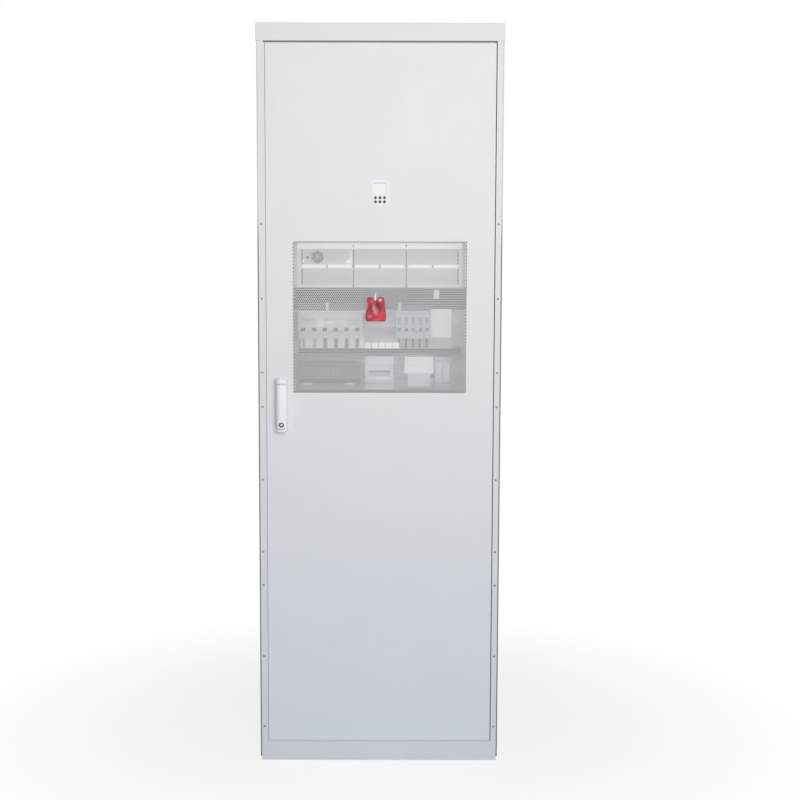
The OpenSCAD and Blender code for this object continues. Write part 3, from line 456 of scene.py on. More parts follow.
sheet = grid.make("GeometryNodeInstanceOnPoints", None, {"Points": grid, "Instance": ring})
sheet = sheet.make("GeometryNodeRealizeInstances", None, {"Geometry": sheet})
sheet = sheet.make("GeometryNodeMergeByDistance", None, {"Geometry": sheet, "Distance": 0.02 * MM})
sheet = sheet.make("GeometryNodeTransform", None, {"Geometry": sheet, "Rotation": (math.radians(90), 0, 0)})
close_tree(sheet, door_coat)


def thickened(piece, thickness):
    """Gives a sheet its thickness, behind its front face."""
    wall = piece.modifiers.new("wall", "SOLIDIFY")
    wall.thickness = thickness
    wall.offset = -1
    return settle(piece)


def placed(piece, move):
    """Moves a piece's mesh, so that the object stays at the origin."""
    for corner in piece.data.vertices:
        corner.co += move
    return piece


lower_rows = 44
upper_rows = hole_rows - lower_rows
vents = []
for name, first, count in (("door_vent_lower", 0, lower_rows), ("door_vent_upper", lower_rows, upper_rows)):
    vent = grown(name, vent_tree, {"Columns": hole_columns, "Rows": count, "First row": first,
                                   "Pitch": hole_pitch, "Web": hole_web}, points_mesh(name, []), "door")
    rise = (first + (count - 1) / 2 - (hole_rows - 1) / 2) * row_pitch
    placed(vent, Vector((0, door_low.y, window_mid.z + rise)))
    vents.append(vent)

skin = bmesh.new()


def outer_edges(mesh):
    """The edges round the outside of a punched sheet, as pairs of points."""
    shape = bmesh.new()
    shape.from_mesh(mesh)
    rim = [e for e in shape.edges if e.is_boundary]
    # A hole's sides are shorter than a cell's by the web, so their length tells them apart.
    whole_side = hole_pitch / math.sqrt(3) * 0.98
    pairs = []
    for edge in rim:
        middle = (edge.verts[0].co + edge.verts[1].co) / 2
        if edge.calc_length() > whole_side:
            pairs.append((edge.verts[0].co.copy(), edge.verts[1].co.copy(), middle))
    shape.free()
    return pairs


def key_of(point):
    """A point's place on the door's face, rounded, as a key."""
    return (round(point.x, 6), round(point.z, 6))


rim_pairs = [pair for vent in vents for pair in outer_edges(vent.data)]
seen_rim = {}
for first, second, middle in rim_pairs:
    seen_rim.setdefault(key_of(middle), []).append((first, second))
corner_at = {}
rim_edges = []


def skin_corner(point):
    """The skin's own corner at a point of the window's rim."""
    if key_of(point) not in corner_at:
        corner_at[key_of(point)] = skin.verts.new((point.x, door_low.y, point.z))
    return corner_at[key_of(point)]


for pairs in seen_rim.values():
    if len(pairs) == 1:
        rim_edges.append(skin.edges.new((skin_corner(pairs[0][0]), skin_corner(pairs[0][1]))))


def frame_loop(inset, depth):
    """Four corners of the door's outline, drawn in by inset at a depth behind the front."""
    return [skin.verts.new((x, door_low.y + depth, z)) for x, z in (
        (door_low.x + inset, door_low.z + inset), (door_high.x + hinge_edge - inset, door_low.z + inset),
        (door_high.x + hinge_edge - inset, door_high.z - inset), (door_low.x + inset, door_high.z - inset))]


def hole_loop(low, high):
    """The edges of a rectangular opening in the door's face."""
    corners = [skin.verts.new((x, door_low.y, z)) for x, z in (
        (low.x, low.z), (high.x, low.z), (high.x, high.z), (low.x, high.z))]
    return [skin.edges.new((corners[i], corners[i - 1])) for i in range(4)]


bezel_low, bezel_high = span("display_housing")
bezel_lap = Vector((1.2 * MM, 0, 1.2 * MM))
display_cut = hole_loop(bezel_low + bezel_lap, bezel_high - bezel_lap)
depth = door_high.y - door_low.y
bend = [math.radians(15 * i) for i in range(7)]
profile = [(fold_r * (1 - math.sin(a)), fold_r * (1 - math.cos(a))) for a in bend]
profile += [(fold_r * (1 - math.cos(a)), depth - fold_r * (1 - math.sin(a))) for a in bend]
profile.append((lip_w, depth))
loops = [frame_loop(inset, back) for inset, back in profile]
front_edges = [skin.edges.new((loops[0][i], loops[0][i - 1])) for i in range(4)]
bmesh.ops.triangle_fill(skin, edges=front_edges + display_cut + rim_edges, use_beauty=True, normal=(0, -1, 0))
for inner_loop, outer_loop in zip(loops, loops[1:]):
    for i in range(4):
        skin.faces.new((inner_loop[i - 1], inner_loop[i], outer_loop[i], outer_loop[i - 1]))
bmesh.ops.recalc_face_normals(skin, faces=skin.faces)
if sum(f.normal.y * f.calc_area() for f in skin.faces if abs(f.normal.y) > 0.9 and
       f.calc_center_median().y < door_low.y + sheet_t) > 0:
    bmesh.ops.reverse_faces(skin, faces=skin.faces)
door_pan = thickened(new_piece("door_pan", skin, door_coat, "door"), sheet_t)
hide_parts("door_skin")
vent_t = 0.8 * MM
for vent in vents:
    thickened(vent, vent_t)

# Edge strips fill most of the gap round the door on three sides, just behind its face, so the gap reads
# as a soft line: pale beside and below the door, and grey under the cover, where the top strip is painted
# dark grey as painted shade. They stay on the frame.
strip_back = door_low.y + 3.6 * MM
strip_front = door_low.y + 1.8 * MM
foot_strip_front = door_low.y + 0.7 * MM
head_strip_front = strip_front + 0.6 * MM
jamb_x = -282 * MM
cover_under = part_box("top_cover")[0][2]


def bars(name, material, body, rounding, corners):
    """Straight bars between pairs of low and high corners, with rounded edges, as one piece."""
    shape = bmesh.new()
    for low, high in corners:
        part = bmesh.ops.create_cube(shape, size=1)["verts"]
        bmesh.ops.scale(shape, vec=Vector(high) - Vector(low), verts=part)
        bmesh.ops.translate(shape, vec=(Vector(low) + Vector(high)) / 2, verts=part)
    return bevelled(new_piece(name, shape, material, body), rounding)


bars("door_edge_strips", body_coat, "cabinet", 0.3 * MM, [
    ((jamb_x, strip_front, door_low.z), (door_low.x - 0.5 * MM, strip_back, door_high.z)),
    ((jamb_x, foot_strip_front, door_low.z - 3.5 * MM),
     (-jamb_x, strip_back, door_low.z - 0.3 * MM))])
# The top strip is painted dark grey: painted shade in the gap under the cover.
gap_shade = powder_coat("gap_shade", srgb(112, 113, 117))
bars("door_top_strip", gap_shade, "cabinet", 0.3 * MM, [
    ((jamb_x, head_strip_front, door_high.z + 0.5 * MM), (-jamb_x, strip_back, cover_under))])

# Inside the door: hat-section stiffeners welded to the skin, a foam seal on the lip, a grey foam strip
# behind each side of the window, and the pins on which it swings in plastic bushes.
dress(door_coat, "door_stiffeners")


def moulded(name, colour, roughness=0.45, grain=0.5 * MM, depth=0.012 * MM):
    """Moulded plastic: nearly even colour, faint mottling and a fine spark-eroded grain."""
    material, wires, shader = finish_of(name)
    pale = tuple(min(1, c * 1.04 + 0.004) for c in colour[:3]) + (1,)
    feed(wires, shader, "Base Color", mixed(wires, noise(wires, 9 * MM, 3), colour, pale))
    feed(wires, shader, "Roughness", noise(wires, 3 * MM) * 0.14 + (roughness - 0.07))
    bumped(wires, shader, noise(wires, grain, 1), depth)
    return material


def plated(name, colour, roughness=0.34, along=(1, 1, 1)):
    """Zinc-plated steel: small bright and dull spangles, drawn out along the direction of the rolling."""
    material, wires, shader = finish_of(name)
    dull = tuple(c * 0.72 for c in colour[:3]) + (1,)
    feed(wires, shader, "Base Color", mixed(wires, noise(wires, 4 * MM, 4, along), dull, colour))
    shader.inputs["Metallic"].default_value = 0.85
    feed(wires, shader, "Roughness", noise(wires, 2 * MM, 3, along) * 0.24 + (roughness - 0.12))
    bumped(wires, shader, noise(wires, 0.7 * MM, 2, along), 0.01 * MM)
    return material


zinc_plate = plated("zinc_plate", srgb(205, 207, 211))
drawn_steel = plated("drawn_steel", srgb(198, 200, 204), 0.28, (6, 6, 0.4))
seal_foam = moulded("seal_foam", srgb(46, 46, 48), 0.85, 0.9 * MM, 0.12 * MM)
bush_nylon = moulded("bush_nylon", srgb(226, 222, 208), 0.5)
rounded_copy("door_gasket", seal_foam, "door", 1.6 * MM, 3)
strip_foam = moulded("strip_foam", srgb(104, 104, 108), 0.85, 0.9 * MM, 0.1 * MM)
window_half_w = (hole_columns / 2 + 0.25) * hole_pitch
window_half_h = (hole_rows - 1) / 2 * row_pitch + hole_pitch / math.sqrt(3)
strip_in = 2.8 * MM
strip_out = 4 * MM
strip_y = door_low.y + sheet_t
strip_t = 1 * MM
window_foot = window_mid.z - window_half_h
window_head = window_mid.z + window_half_h
bars("window_side_strips", strip_foam, "door", 0.2 * MM, [
    ((side * window_half_w - (strip_out if side < 0 else strip_in), strip_y, window_foot),
     (side * window_half_w + (strip_in if side < 0 else strip_out), strip_y + strip_t, window_head))
    for side in (-1, 1)])
dress(drawn_steel, "hinge_pins")
dress(bush_nylon, "hinge_bushes")

# The rod lock: a zinc-plated gearbox behind the handle, and two bright drawn rods whose racks the
# spindle's pinion drives up and down.
rounded_copy("lock_gearbox", zinc_plate, "door", 0.8 * MM)
dress(drawn_steel, "upper_rod", "lower_rod")

# The display: a near-white moulded bezel clipped into the door, with a pale liquid-crystal window
# and six dark rubber keys in two rows. A grey-green band painted along the top of the window is painted shade
# under the bezel's edge.
bezel_white = moulded("bezel_white", srgb(234, 234, 237), 0.4, 0.35 * MM)
rounded_copy("display_housing", bezel_white, "door", 0.7 * MM, 3)
screen_high = span("display_lens")[1]
screen_window, wires, shader = finish_of("screen_window")
across, _, height = place_of(wires)
shade_line = wires.make("ShaderNodeMapRange", {"interpolation_type": "SMOOTHSTEP"}, {
    "Value": height, "From Min": screen_high.z - 3 * MM, "From Max": screen_high.z - 2 * MM})
edge = wires.make("ShaderNodeMapRange", {"interpolation_type": "SMOOTHSTEP"}, {
    "Value": across, "From Min": screen_high.x - 5 * MM, "From Max": screen_high.x - 3.5 * MM,
    "To Max": 0.35})
glass_tone = mixed(wires, noise(wires, 14 * MM), srgb(232, 231, 225), srgb(227, 228, 222))
glass_tone = mixed(wires, edge, glass_tone, srgb(206, 208, 205))
feed(wires, shader, "Base Color", mixed(wires, shade_line, glass_tone, srgb(186, 190, 182)))
feed(wires, shader, "Roughness", noise(wires, 6 * MM) * 0.1 + 0.3)
shader.inputs["Coat Weight"].default_value = 0.15
rounded_copy("display_lens", screen_window, "door", 0.25 * MM)
key_rubber = moulded("key_rubber", srgb(74, 72, 76), 0.55, 0.3 * MM)
for number in range(1, 7):
    key = "key_%d" % number
    rounded_copy(key, key_rubber, key, 0.9 * MM, 4)

# The swing handle: a die-cast lever, crowned across, on a hub that turns with the spindle over a
# flat base plate. All carry a satin light coat with painted shade on their left side; the key cylinder is
# dark with a bright core.
handle_satin_side_shade = powder_coat("handle_satin_side_shade", srgb(209, 210, 214), 0.34, 0.9 * MM, 0.015 * MM)
lever_low, lever_high = span("handle_lever")
lever_mid_x = (lever_low.x + lever_high.x) / 2
shade_reach = 7 * MM
# Painted shade: the coat is darker on the left side of the lever and fades to light across its middle.
two_tone(handle_satin_side_shade, "X", lever_mid_x - shade_reach, srgb(245, 245, 248), shade_reach)
for name, body, width in (("handle_base", "door", 1.2), ("handle_spindle", "spindle", 0.35),
                          ("handle_lever", "lever", 0.5)):
    rounded_copy(name, handle_satin_side_shade, body, width * MM, 3)
lock_low, lock_high = span("lock_cylinder")
lock_mid = (lock_low + lock_high) / 2
lock_r = (lock_high.x - lock_low.x) / 2
lock_dark = moulded("lock_dark", srgb(92, 92, 96), 0.4, 0.4 * MM)
lock_bright = plated("lock_bright", srgb(196, 196, 200), 0.3)


def turned(profile, middle, segments=48):
    """A shape turned about a line along Y: profile gives (radius, y) from the front inwards."""
    shape = bmesh.new()
    rings = []
    for radius, y in profile:
        if radius < 1e-6:
            rings.append([shape.verts.new((middle.x, y, middle.z))])
            continue
        rings.append([shape.verts.new((middle.x + radius * math.cos(i * math.tau / segments), y,
                                       middle.z + radius * math.sin(i * math.tau / segments)))
                      for i in range(segments)])
    for near, far in zip(rings, rings[1:]):
        for i in range(segments):
            corners = [near[i % len(near)], near[(i + 1) % len(near)],
                       far[(i + 1) % len(far)], far[i % len(far)]]
            shape.faces.new(list(dict.fromkeys(corners)))
    bmesh.ops.recalc_face_normals(shape, faces=shape.faces)
    return shape


lock_front = lock_low.y
collar_bore = 0.52 * lock_r
core_r = 0.5 * lock_r
collar = turned([(collar_bore, lock_high.y), (collar_bore, lock_front + 1.1 * MM),
                 (0.62 * lock_r, lock_front + 0.9 * MM), (0.9 * lock_r, lock_front + 0.1 * MM),
                 (0.97 * lock_r, lock_front + 0.15 * MM), (lock_r, lock_front + 0.5 * MM),
                 (lock_r, lock_high.y), (collar_bore, lock_high.y)], lock_mid)
lock_collar = new_piece("lock_collar", collar, lock_dark, "lock")
core = turned([(0, lock_front + 0.5 * MM), (0.3 * lock_r, lock_front + 0.5 * MM),
               (0.46 * lock_r, lock_front + 0.7 * MM), (core_r, lock_front + 1.1 * MM),
               (core_r, lock_high.y), (0, lock_high.y)], lock_mid)
lock_core = new_piece("lock_core", core, lock_bright, "lock")
slot_cut = bmesh.new()
bmesh.ops.create_cube(slot_cut, size=1)
bmesh.ops.scale(slot_cut, vec=(0.7 * MM, 0.5 * MM, 0.62 * lock_r), verts=slot_cut.verts)
bmesh.ops.translate(slot_cut, vec=(lock_mid.x, lock_front + 0.3 * MM, lock_mid.z), verts=slot_cut.verts)
lock_slot = bevelled(new_piece("lock_key_slot", slot_cut, lock_dark, "lock"), 0.15 * MM)
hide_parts("lock_cylinder")
# A thin dark grey arc, barely raised, round the lock's lower side on the lever's face: painted shade standing
# in for the edge of a finger groove.
line_r = 11.4 * MM
line_reach = 46
line_half_w = 0.9 * MM
lever_flat = 6 * MM
lever_edge_r = 9 * MM
line_section = ((line_r - line_half_w, 0), (line_r, 0.3 * MM), (line_r + line_half_w, 0), (line_r, -0.6 * MM))
groove_shade_grey = moulded("groove_shade_grey", srgb(112, 112, 117), 0.5)
line_shape = bmesh.new()
line_rings = []
for step in range(25):
    angle = math.radians(-90 + line_reach * (step / 12 - 1))
    ring = []
    for radius, proud in line_section:
        off = radius * math.cos(angle)
        over = max(0, abs(off) - lever_flat)
        fall = lever_edge_r - math.sqrt(lever_edge_r ** 2 - over ** 2)
        ring.append(line_shape.verts.new((lock_mid.x + off, lever_low.y + fall - proud,
                                          lock_mid.z + radius * math.sin(angle))))
    line_rings.append(ring)
for near, far in zip(line_rings, line_rings[1:]):
    for i in range(4):
        line_shape.faces.new((near[i - 1], near[i], far[i], far[i - 1]))
line_shape.faces.new(line_rings[0])
line_shape.faces.new(line_rings[-1])
bmesh.ops.recalc_face_normals(line_shape, faces=line_shape.faces)
new_piece("lever_groove_shade", line_shape, groove_shade_grey, "lever")

# Racking: two plated angles with a row of holes, a gland plate over the base opening, and two
# painted shelves for batteries.
dress(zinc_plate, "left_rack_rail", "right_rack_rail", "gland_plate")
tray_coat = powder_coat("tray_coat", srgb(206, 208, 211))
dress(tray_coat, "battery_trays")

# The rectifier shelf: a white painted case with grey ears and two rows of three cells. One cell holds a
# rectifier with a white stud, latch and button, the others plain grey covers. White ledges run under
# each row. The case, the ledges, the top strip and the stud, latch and button glow a little: painted light.
shelf_low, shelf_high = span("rectifier_shelf")
case_low, case_high = span("rectifier_case")
shelf_white = powder_coat("shelf_white", srgb(253, 252, 252), 0.4)
ear_from = 206 * MM
two_tone(shelf_white, "X", ear_from, srgb(214, 215, 219), far_side=True)
# The right ear is painted a darker grey than the left: painted shade.
two_tone(shelf_white, "X", ear_from, srgb(195, 197, 202))
cover_grey = powder_coat("cover_grey", srgb(238, 238, 240))
case_grey = powder_coat("case_grey", srgb(244, 243, 245))
two_tone(case_grey, "Y", shelf_low.y - 1 * MM, srgb(240, 238, 240))
rounded_copy("rectifier_shelf", shelf_white, "cabinet", 0.7 * MM)
rounded_copy("blank_panels", cover_grey, "cabinet", 1.6 * MM, 3)
dress(case_grey, "rectifier_case")
guard_wire, wires, shader = finish_of("guard_wire")
guard_low, guard_high = span("fan_guard")
guard_mid = (guard_low + guard_high) / 2
x, _, z = place_of(wires)
aside, above = x - guard_mid.x, z - guard_mid.z
from_mid = wires.maths("SQRT", aside * aside + above * above)
guard_tone = mixed(wires, noise(wires, 3 * MM), srgb(96, 96, 100), srgb(112, 112, 116))
for level, tone in ((2 * MM, srgb(228, 228, 231)), (6 * MM, srgb(186, 187, 191)),
                    (11 * MM, srgb(98, 98, 103)), (16 * MM, srgb(240, 239, 241))):
    guard_tone = mixed(wires, step_up(wires, from_mid, level, 0.4 * MM), guard_tone, tone)
feed(wires, shader, "Base Color", guard_tone)
feed(wires, shader, "Roughness", noise(wires, 2 * MM) * 0.2 + 0.3)
dress(guard_wire, "fan_guard")
fan_grey = moulded("fan_grey", srgb(80, 80, 84), 0.5)
dress(fan_grey, "fan_rotor")

block_tree, block_in = new_tree("blocks", [
    ("Points", "NodeSocketGeometry"), ("Size", "NodeSocketVector"), ("Finish", "NodeSocketMaterial")])
cube = block_in["Points"].make("GeometryNodeMeshCube", None, {"Size": block_in["Size"]})
close_tree(cube.make("GeometryNodeInstanceOnPoints", None, {"Points": block_in["Points"], "Instance": cube}),
           block_in["Finish"])


def blocks(name, size, material, places, rounding=0.5 * MM):
    """Equal small rounded blocks on the cabinet, one at each place."""
    seed = points_mesh(name + "_points", places)
    piece = grown(name, block_tree, {"Size": [s * MM for s in size], "Finish": material}, seed, "cabinet")
    return bevelled(piece, rounding)


def brightened(material, strength):
    """Adds a white emission to a finish, a glow that is painted light, because it reads too dark behind the
    punched sheet.
    """
    shader = next(n for n in material.node_tree.nodes if n.type == "BSDF_PRINCIPLED")
    shader.inputs["Emission Color"].default_value = (1, 1, 1, 1)
    shader.inputs["Emission Strength"].default_value = strength
    return material


module_pitch = 131.6 * MM
shelf_front = shelf_low.y
middle_ledge_z = 1243.8 * MM
lower_ledge_z = 1194.8 * MM
top_strip_z = 1294.4 * MM
# Painted light: the shelf case, the ledges and the top strip get a white glow.
brightened(shelf_white, 0.1)
ledge_white = brightened(powder_coat("ledge_white", srgb(254, 253, 253), 0.3), 0.4)
strip_cream = brightened(powder_coat("strip_cream", srgb(252, 249, 243), 0.35), 0.42)
blocks("shelf_middle_ledges", (59.4, 6, 7.6), ledge_white,
               [(column * module_pitch + side * 32.2 * MM, shelf_front - 3 * MM, middle_ledge_z)
                for column in (-1, 0, 1) for side in (-1, 1)], 1.2 * MM)
blocks("shelf_lower_ledges", (126, 5, 7), shelf_white,
               [(column * module_pitch, shelf_front - 2.5 * MM, lower_ledge_z) for column in (-1, 0, 1)],
               1.2 * MM)
blocks("shelf_top_strip", (408, 3, 13), strip_cream,
               [(0, shelf_front - 1.5 * MM, top_strip_z)], 1 * MM)
filler_grey = powder_coat("filler_grey", srgb(243, 242, 244))
blocks("filler_panel", (482, 1.6, 22), filler_grey,
               [(0, shelf_front + 1 * MM, shelf_high.z + 11.5 * MM)])
strip_screw_places = [(side * module_pitch / 2, shelf_front - 3 * MM, top_strip_z) for side in (-1, 1)]
strip_screws = grown("shelf_screw_heads", screw_tree, {"Head radius": 2.6 * MM, "Head height": 1.2 * MM},
                     points_mesh("shelf_screw_points", strip_screw_places), "cabinet")
blocks("rectifier_stud", (11, 3, 8), ledge_white, [(-77 * MM, shelf_front - 1.5 * MM, 1256 * MM)])
blocks("rectifier_latch", (4.4, 4, 22), ledge_white,
               [(-71.5 * MM, shelf_front - 2 * MM, 1273 * MM)], 1 * MM)
blocks("rectifier_button", (5, 2, 5), ledge_white,
               [(-190 * MM, shelf_front - 0.8 * MM, 1257.5 * MM)], 0.9 * MM)
blocks("rectifier_lamp", (6.4, 1.6, 6.4), fan_grey, [(-180 * MM, shelf_front - 0.6 * MM, 1266 * MM)])
cover_low = span("blank_panels")[0]
# Dark strips over the seams between modules, and grey blocks in the gaps and notches of the ledges: painted
# shade in the gaps.
seam_shade = moulded("seam_shade", srgb(132, 132, 138), 0.7)
row_mids = ((case_low.z + case_high.z) / 2, cover_low.z + (case_high.z - case_low.z) / 2)
blocks("module_seams", (2.4, 2, 38), seam_shade,
               [(x * MM, cover_low.y + 0.6 * MM, z) for x in (-194, -65.8, 65.8, 195) for z in row_mids],
               0.3 * MM)
ledge_gap_shade = powder_coat("ledge_gap_shade", srgb(172, 172, 177))
blocks("ledge_gaps", (7.4, 1.2, 8), ledge_gap_shade,
               [(side * module_pitch / 2, shelf_front - 0.4 * MM, z)
                for side in (-1, 1) for z in (middle_ledge_z, lower_ledge_z)], 0.3 * MM)
blocks("ledge_notches", (4.6, 1.2, 8), ledge_gap_shade,
               [(column * module_pitch, shelf_front - 0.4 * MM, middle_ledge_z) for column in (-1, 0, 1)],
               0.3 * MM)

# Distribution: a folded chassis with two top-hat rails. Above the breakers the chassis and the tops of the
# breakers are painted dark, as painted shade under the rectifier shelf. On the rails are breakers with
# terminal mouths, and a lower row of terminals, input breaker, contactor and arrester, in moulded plastic.
# Leads run down to a duct, with blank tags and pale plates about them.
chassis_pale = powder_coat("chassis_pale", srgb(228, 228, 229))
# Painted shade: above this height the chassis and the breaker cases are painted dark, for the shadow under
# the rectifier shelf.
shelf_shadow_above = 1131 * MM
plate_right = 182 * MM
two_tone(chassis_pale, "X", plate_right, srgb(212, 215, 222))
two_tone(chassis_pale, "Z", shelf_shadow_above, srgb(98, 100, 105))
dress(chassis_pale, "distribution_panel")
rail_zinc = plated("rail_zinc", srgb(176, 180, 188))
dress(rail_zinc, "din_rails")
pale_case = two_tone(moulded("pale_case", srgb(250, 249, 252), 0.5), "Z", shelf_shadow_above, srgb(136, 138, 143))
blue_case = two_tone(moulded("blue_case", srgb(228, 233, 241), 0.5), "Z", shelf_shadow_above, srgb(136, 139, 146))
# Painted light: the white case, the input breaker's case and the contactor's coil case get a white glow.
white_case = brightened(moulded("white_case", srgb(250, 250, 252), 0.45), 0.16)
input_case = brightened(moulded("input_case", srgb(238, 239, 245), 0.45), 0.08)
cap_above = 978 * MM
coil_case = two_tone(moulded("coil_case", srgb(190, 199, 212), 0.5), "Z", cap_above, srgb(252, 252, 251))
brightened(coil_case, 0.2)
plug_front = -213 * MM
arrester_case = moulded("arrester_case", srgb(250, 250, 252), 0.5)
two_tone(arrester_case, "Y", plug_front, srgb(222, 229, 238))
terminal_grey = moulded("terminal_grey", srgb(152, 154, 160), 0.5)
lead_dark = moulded("lead_dark", srgb(150, 146, 153), 0.6, 1.2 * MM)
load_leads_from = 30 * MM
outer_leads_from = 152 * MM
two_tone(lead_dark, "X", load_leads_from, srgb(96, 95, 104))
two_tone(lead_dark, "X", outer_leads_from, srgb(226, 225, 229), far_side=True)
duct_grey = moulded("duct_grey", srgb(92, 94, 99), 0.55)
mouth_shade = moulded("mouth_shade", srgb(112, 112, 120), 0.7)
for node, finish, slot in (
        ("battery_breakers", pale_case, "light_plastic"), ("load_breakers", blue_case, "blue_grey_plastic"),
        ("input_breaker", input_case, "light_plastic"), ("surge_arrester", arrester_case, "light_plastic"),
        ("terminal_blocks", terminal_grey, "dark_plastic"), ("wire_duct", duct_grey, "dark_plastic")):
    rounded_copy(node, finish, "cabinet", 0.7 * MM)
coil_low, coil_high = span("contactor")
coil_mid_x = (coil_low.x + coil_high.x) / 2
flare_from = 980 * MM
waist = 0.82
flare = 0.38
arch_shape = cad_copy("contactor")
for corner in arch_shape.verts:
    up = (corner.co.z - flare_from) / (coil_high.z - flare_from)
    if up >= 0:
        corner.co.x = coil_mid_x + (corner.co.x - coil_mid_x) * (waist + flare * up)
arch = bevelled(new_piece("contactor_finished", arch_shape, coil_case, "cabinet"), 0.7 * MM)
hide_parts("contactor")
dress(lead_dark, "breaker_leads")
pale_toggle = moulded("pale_toggle", srgb(250, 250, 253), 0.45)
blue_toggle = moulded("blue_toggle", srgb(196, 204, 218), 0.45)
for toggle in ["input_toggle"] + ["battery_toggle_%d" % i for i in (1, 2, 3)]:
    rounded_copy(toggle, pale_toggle, toggle, 0.8 * MM)
for toggle in ["load_toggle_%d" % i for i in (1, 2, 3, 4, 5)]:
    rounded_copy(toggle, blue_toggle, toggle, 0.8 * MM)
nose_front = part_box("battery_breakers")[0][1]
mouth_z = 1086 * MM
# Flat dark blocks on the breakers' noses: painted shade standing in for the terminal openings.
blocks("battery_terminal_mouths", (11, 1.4, 9), mouth_shade, [
    ((-191.5 + 27 * i) * MM, nose_front - 0.3 * MM, mouth_z) for i in range(6)])
blocks("load_terminal_mouths", (8, 1.4, 9), mouth_shade, [
    ((49 + 17.5 * i) * MM, nose_front - 0.3 * MM, mouth_z) for i in range(5)])
rail_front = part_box("din_rails")[0][1]
blocks("bare_cover_plate", (52, 2.5, 98), white_case, [(156 * MM, rail_front - 1.3 * MM, 1084 * MM)],
               0.8 * MM)
duct_low, duct_high = span("wire_duct")
marker_y = -162 * MM
marker_z = duct_high.z + 13.5 * MM
marker_pale = moulded("marker_pale", srgb(228, 225, 228), 0.5)
blocks("lead_marker_plate", (202, 1.6, 27), marker_pale, [
    (81 * MM, marker_y, marker_z)], 0.3 * MM)
blocks("battery_marker_plate", (160, 1.6, 27), white_case, [
    (-120 * MM, marker_y, marker_z)], 0.3 * MM)
# Painted light: the blank tags here and below glow a little.
blocks("blank_lead_tags", (15, 3, 15), ledge_white, [
    ((-30 + 18 * i) * MM, duct_low.y + 10 * MM, duct_high.z + 7.5 * MM) for i in range(5)])
tag_white = brightened(moulded("tag_white", srgb(250, 250, 251), 0.45), 0.26)
blocks("blank_breaker_tags", (14, 0.8, 15), tag_white, [
    (x * MM, nose_front - 0.3 * MM, z * MM) for x, z in ((-147, 1101), (-124, 1106))], 0.2 * MM)
chassis_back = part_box("distribution_panel")[1][1]
blocks("blank_chassis_tags", (22, 1.4, 6), tag_white, [
    (x * MM, chassis_back - 2.6 * MM, 940.5 * MM) for x in (-184, -78)])
tab_cream = moulded("tab_cream", srgb(240, 238, 220), 0.5)
shoulder_front = rail_front - 46 * MM
blocks("cream_tabs", (7, 3, 24), tab_cream, [
    (x * MM, shoulder_front - 1.4 * MM, 1140 * MM) for x in (-132, 50)])
blocks("cable_clip", (14, 8, 24), white_case, [
    (144 * MM, chassis_back - 6 * MM, 1171 * MM)], 2 * MM)

# A small red bag of spare parts: thin plastic film, slack and creased towards the white tie that
# gathers its middle, with darker things showing through it and pale patches of painted highlight. The tie
# goes through the door's holes.
bag_low, bag_high = span("accessory_bag")
bag_x = (bag_low.x + bag_high.x) / 2
bag_half = 24.5 * MM
bag_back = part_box("door_skin")[0][1] - 0.5 * MM
neck_z = 52 * MM
bag_film, wires, shader = finish_of("bag_film")
x, _, z = place_of(wires)
streaks = noise(wires, 9 * MM, 3, (1.6, 1, 0.5))
film = mixed(wires, streaks, srgb(150, 20, 34), srgb(232, 76, 92))


def blob(at_x, at_z, half_x, half_z):
    """A soft patch about a point of the bag, 1 in its middle and 0 outside."""
    across = (x - (bag_x + at_x * MM)) / (half_x * MM)
    along = (z - (bag_low.z + at_z * MM)) / (half_z * MM)
    far = across * across + along * along + streaks * 1.2 - 0.3
    return wires.make("ShaderNodeMapRange", {"interpolation_type": "SMOOTHSTEP"}, {
        "Value": far, "From Min": 0.5, "From Max": 1.5, "To Min": 1.0, "To Max": 0.0})


# The two palest tones are painted highlights on the film; the darkest are things inside the bag.
maroon, deep_red, bright_red = srgb(84, 12, 20), srgb(124, 18, 30), srgb(236, 54, 68)
highlight_rose, highlight_pink = srgb(206, 116, 132), srgb(250, 196, 206)
for at_x, at_z, half_x, half_z, tone in (
        (14, 14, 12, 12, bright_red), (8, 36, 9, 15, maroon), (-9, 34, 7, 10, deep_red),
        (17, 60, 6, 5, deep_red), (-4, 34, 3, 14, highlight_rose), (-14, 13, 6, 5, highlight_rose), (12, 53, 6, 4, highlight_pink),
        (-7, 50, 4, 3, highlight_rose), (-22, 40, 3.4, 15, highlight_pink), (5, 5, 12, 3, highlight_rose)):
    film = mixed(wires, blob(at_x, at_z, half_x, half_z) * 0.85, film, tone)
feed(wires, shader, "Base Color", film)
feed(wires, shader, "Roughness", noise(wires, 5 * MM) * 0.2 + 0.18)
shader.inputs["Coat Weight"].default_value = 0.15
bumped(wires, shader, noise(wires, 3 * MM, 3, (1.5, 1, 0.6)), 0.5 * MM)


ear_rise = 8 * MM
ear_droop = 5 * MM
edge_depth = 2 * MM
belly_depth = 15 * MM
crease_depth = 1.6 * MM
crease_reach = 30 * MM
lump_depth = 1.5 * MM
least_depth = 1 * MM


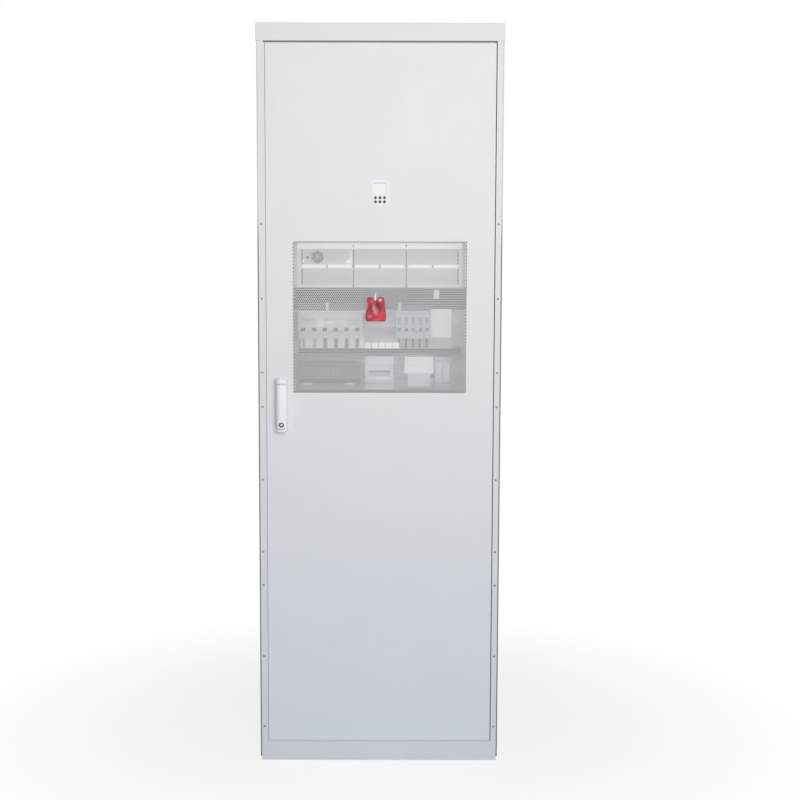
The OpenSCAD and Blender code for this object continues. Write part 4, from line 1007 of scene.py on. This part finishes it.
def bag_point(across, up, front):
    """A point of the bag's film: across from -1 to 1, up from 0 to 1, and front 1 or back 0."""
    ear = min(1, abs(across) / 0.42)
    top = neck_z + ear_rise * (3 - 2 * ear) * ear * ear - ear_droop * max(0, abs(across) - 0.6)
    height = top * up
    half = bag_half * (1 - 0.14 * up ** 1.5) * (1 - 0.16 * (1 - up) ** 14)
    if across > 0:
        half *= 1 + 0.13 * (1 - up)
    from_tie = math.hypot(across * half, height - neck_z)
    angle = math.atan2(across * half, neck_z + 4 * MM - height)
    crease = math.cos(11 * angle + 0.6 * math.sin(5 * up)) * math.exp(-from_tie / crease_reach)
    full = (1 - abs(across) ** 3) * (1 - up ** 4) ** 0.8 * (1 - (1 - up) ** 9)
    depth = edge_depth + belly_depth * full
    depth += crease_depth * crease * (1 - across ** 4) * min(1, 4 * (1 - up))
    lump = lump_depth * math.sin(7 * across + 1) * math.sin(6 * up + 0.4) * full
    return (bag_x + across * half, bag_back - front * max(least_depth, depth + lump), bag_low.z + height)


bag_shape = bmesh.new()
steps_x, steps_z = 56, 72
sides = [[[bag_shape.verts.new(bag_point(2 * i / steps_x - 1, j / steps_z, front))
           for i in range(steps_x + 1)] for j in range(steps_z + 1)] for front in (0, 1)]
for grid in sides:
    for j in range(steps_z):
        for i in range(steps_x):
            bag_shape.faces.new((grid[j][i], grid[j][i + 1], grid[j + 1][i + 1], grid[j + 1][i]))
rim = [(0, i) for i in range(steps_x)] + [(j, steps_x) for j in range(steps_z)]
rim += [(steps_z, i) for i in range(steps_x, 0, -1)] + [(j, 0) for j in range(steps_z, 0, -1)]
for here, there in zip(rim, rim[1:] + rim[:1]):
    bag_shape.faces.new([sides[k][j][i] for k, (j, i) in ((0, here), (0, there), (1, there), (1, here))])
bmesh.ops.recalc_face_normals(bag_shape, faces=bag_shape.faces)
for face in bag_shape.faces:
    face.smooth = True
bag = new_piece("red_bag", bag_shape, bag_film, "door")
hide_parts("accessory_bag")
tie_white = moulded("tie_white", srgb(251, 248, 249), 0.35, 0.6 * MM)
tie_foot = Vector((bag_x, bag_back, bag_low.z))
bars("bag_tie", tie_white, "door", 0.4 * MM, [
    [tie_foot + Vector(corner) * MM for corner in pair]
    for pair in (((-1.8, -3.6, 47), (1.8, -0.6, 62)), ((-1.2, -1.6, 60), (1.2, -0.4, 71)),
                 ((-1.2, -0.6, 69.6), (1.2, 3, 71)))])
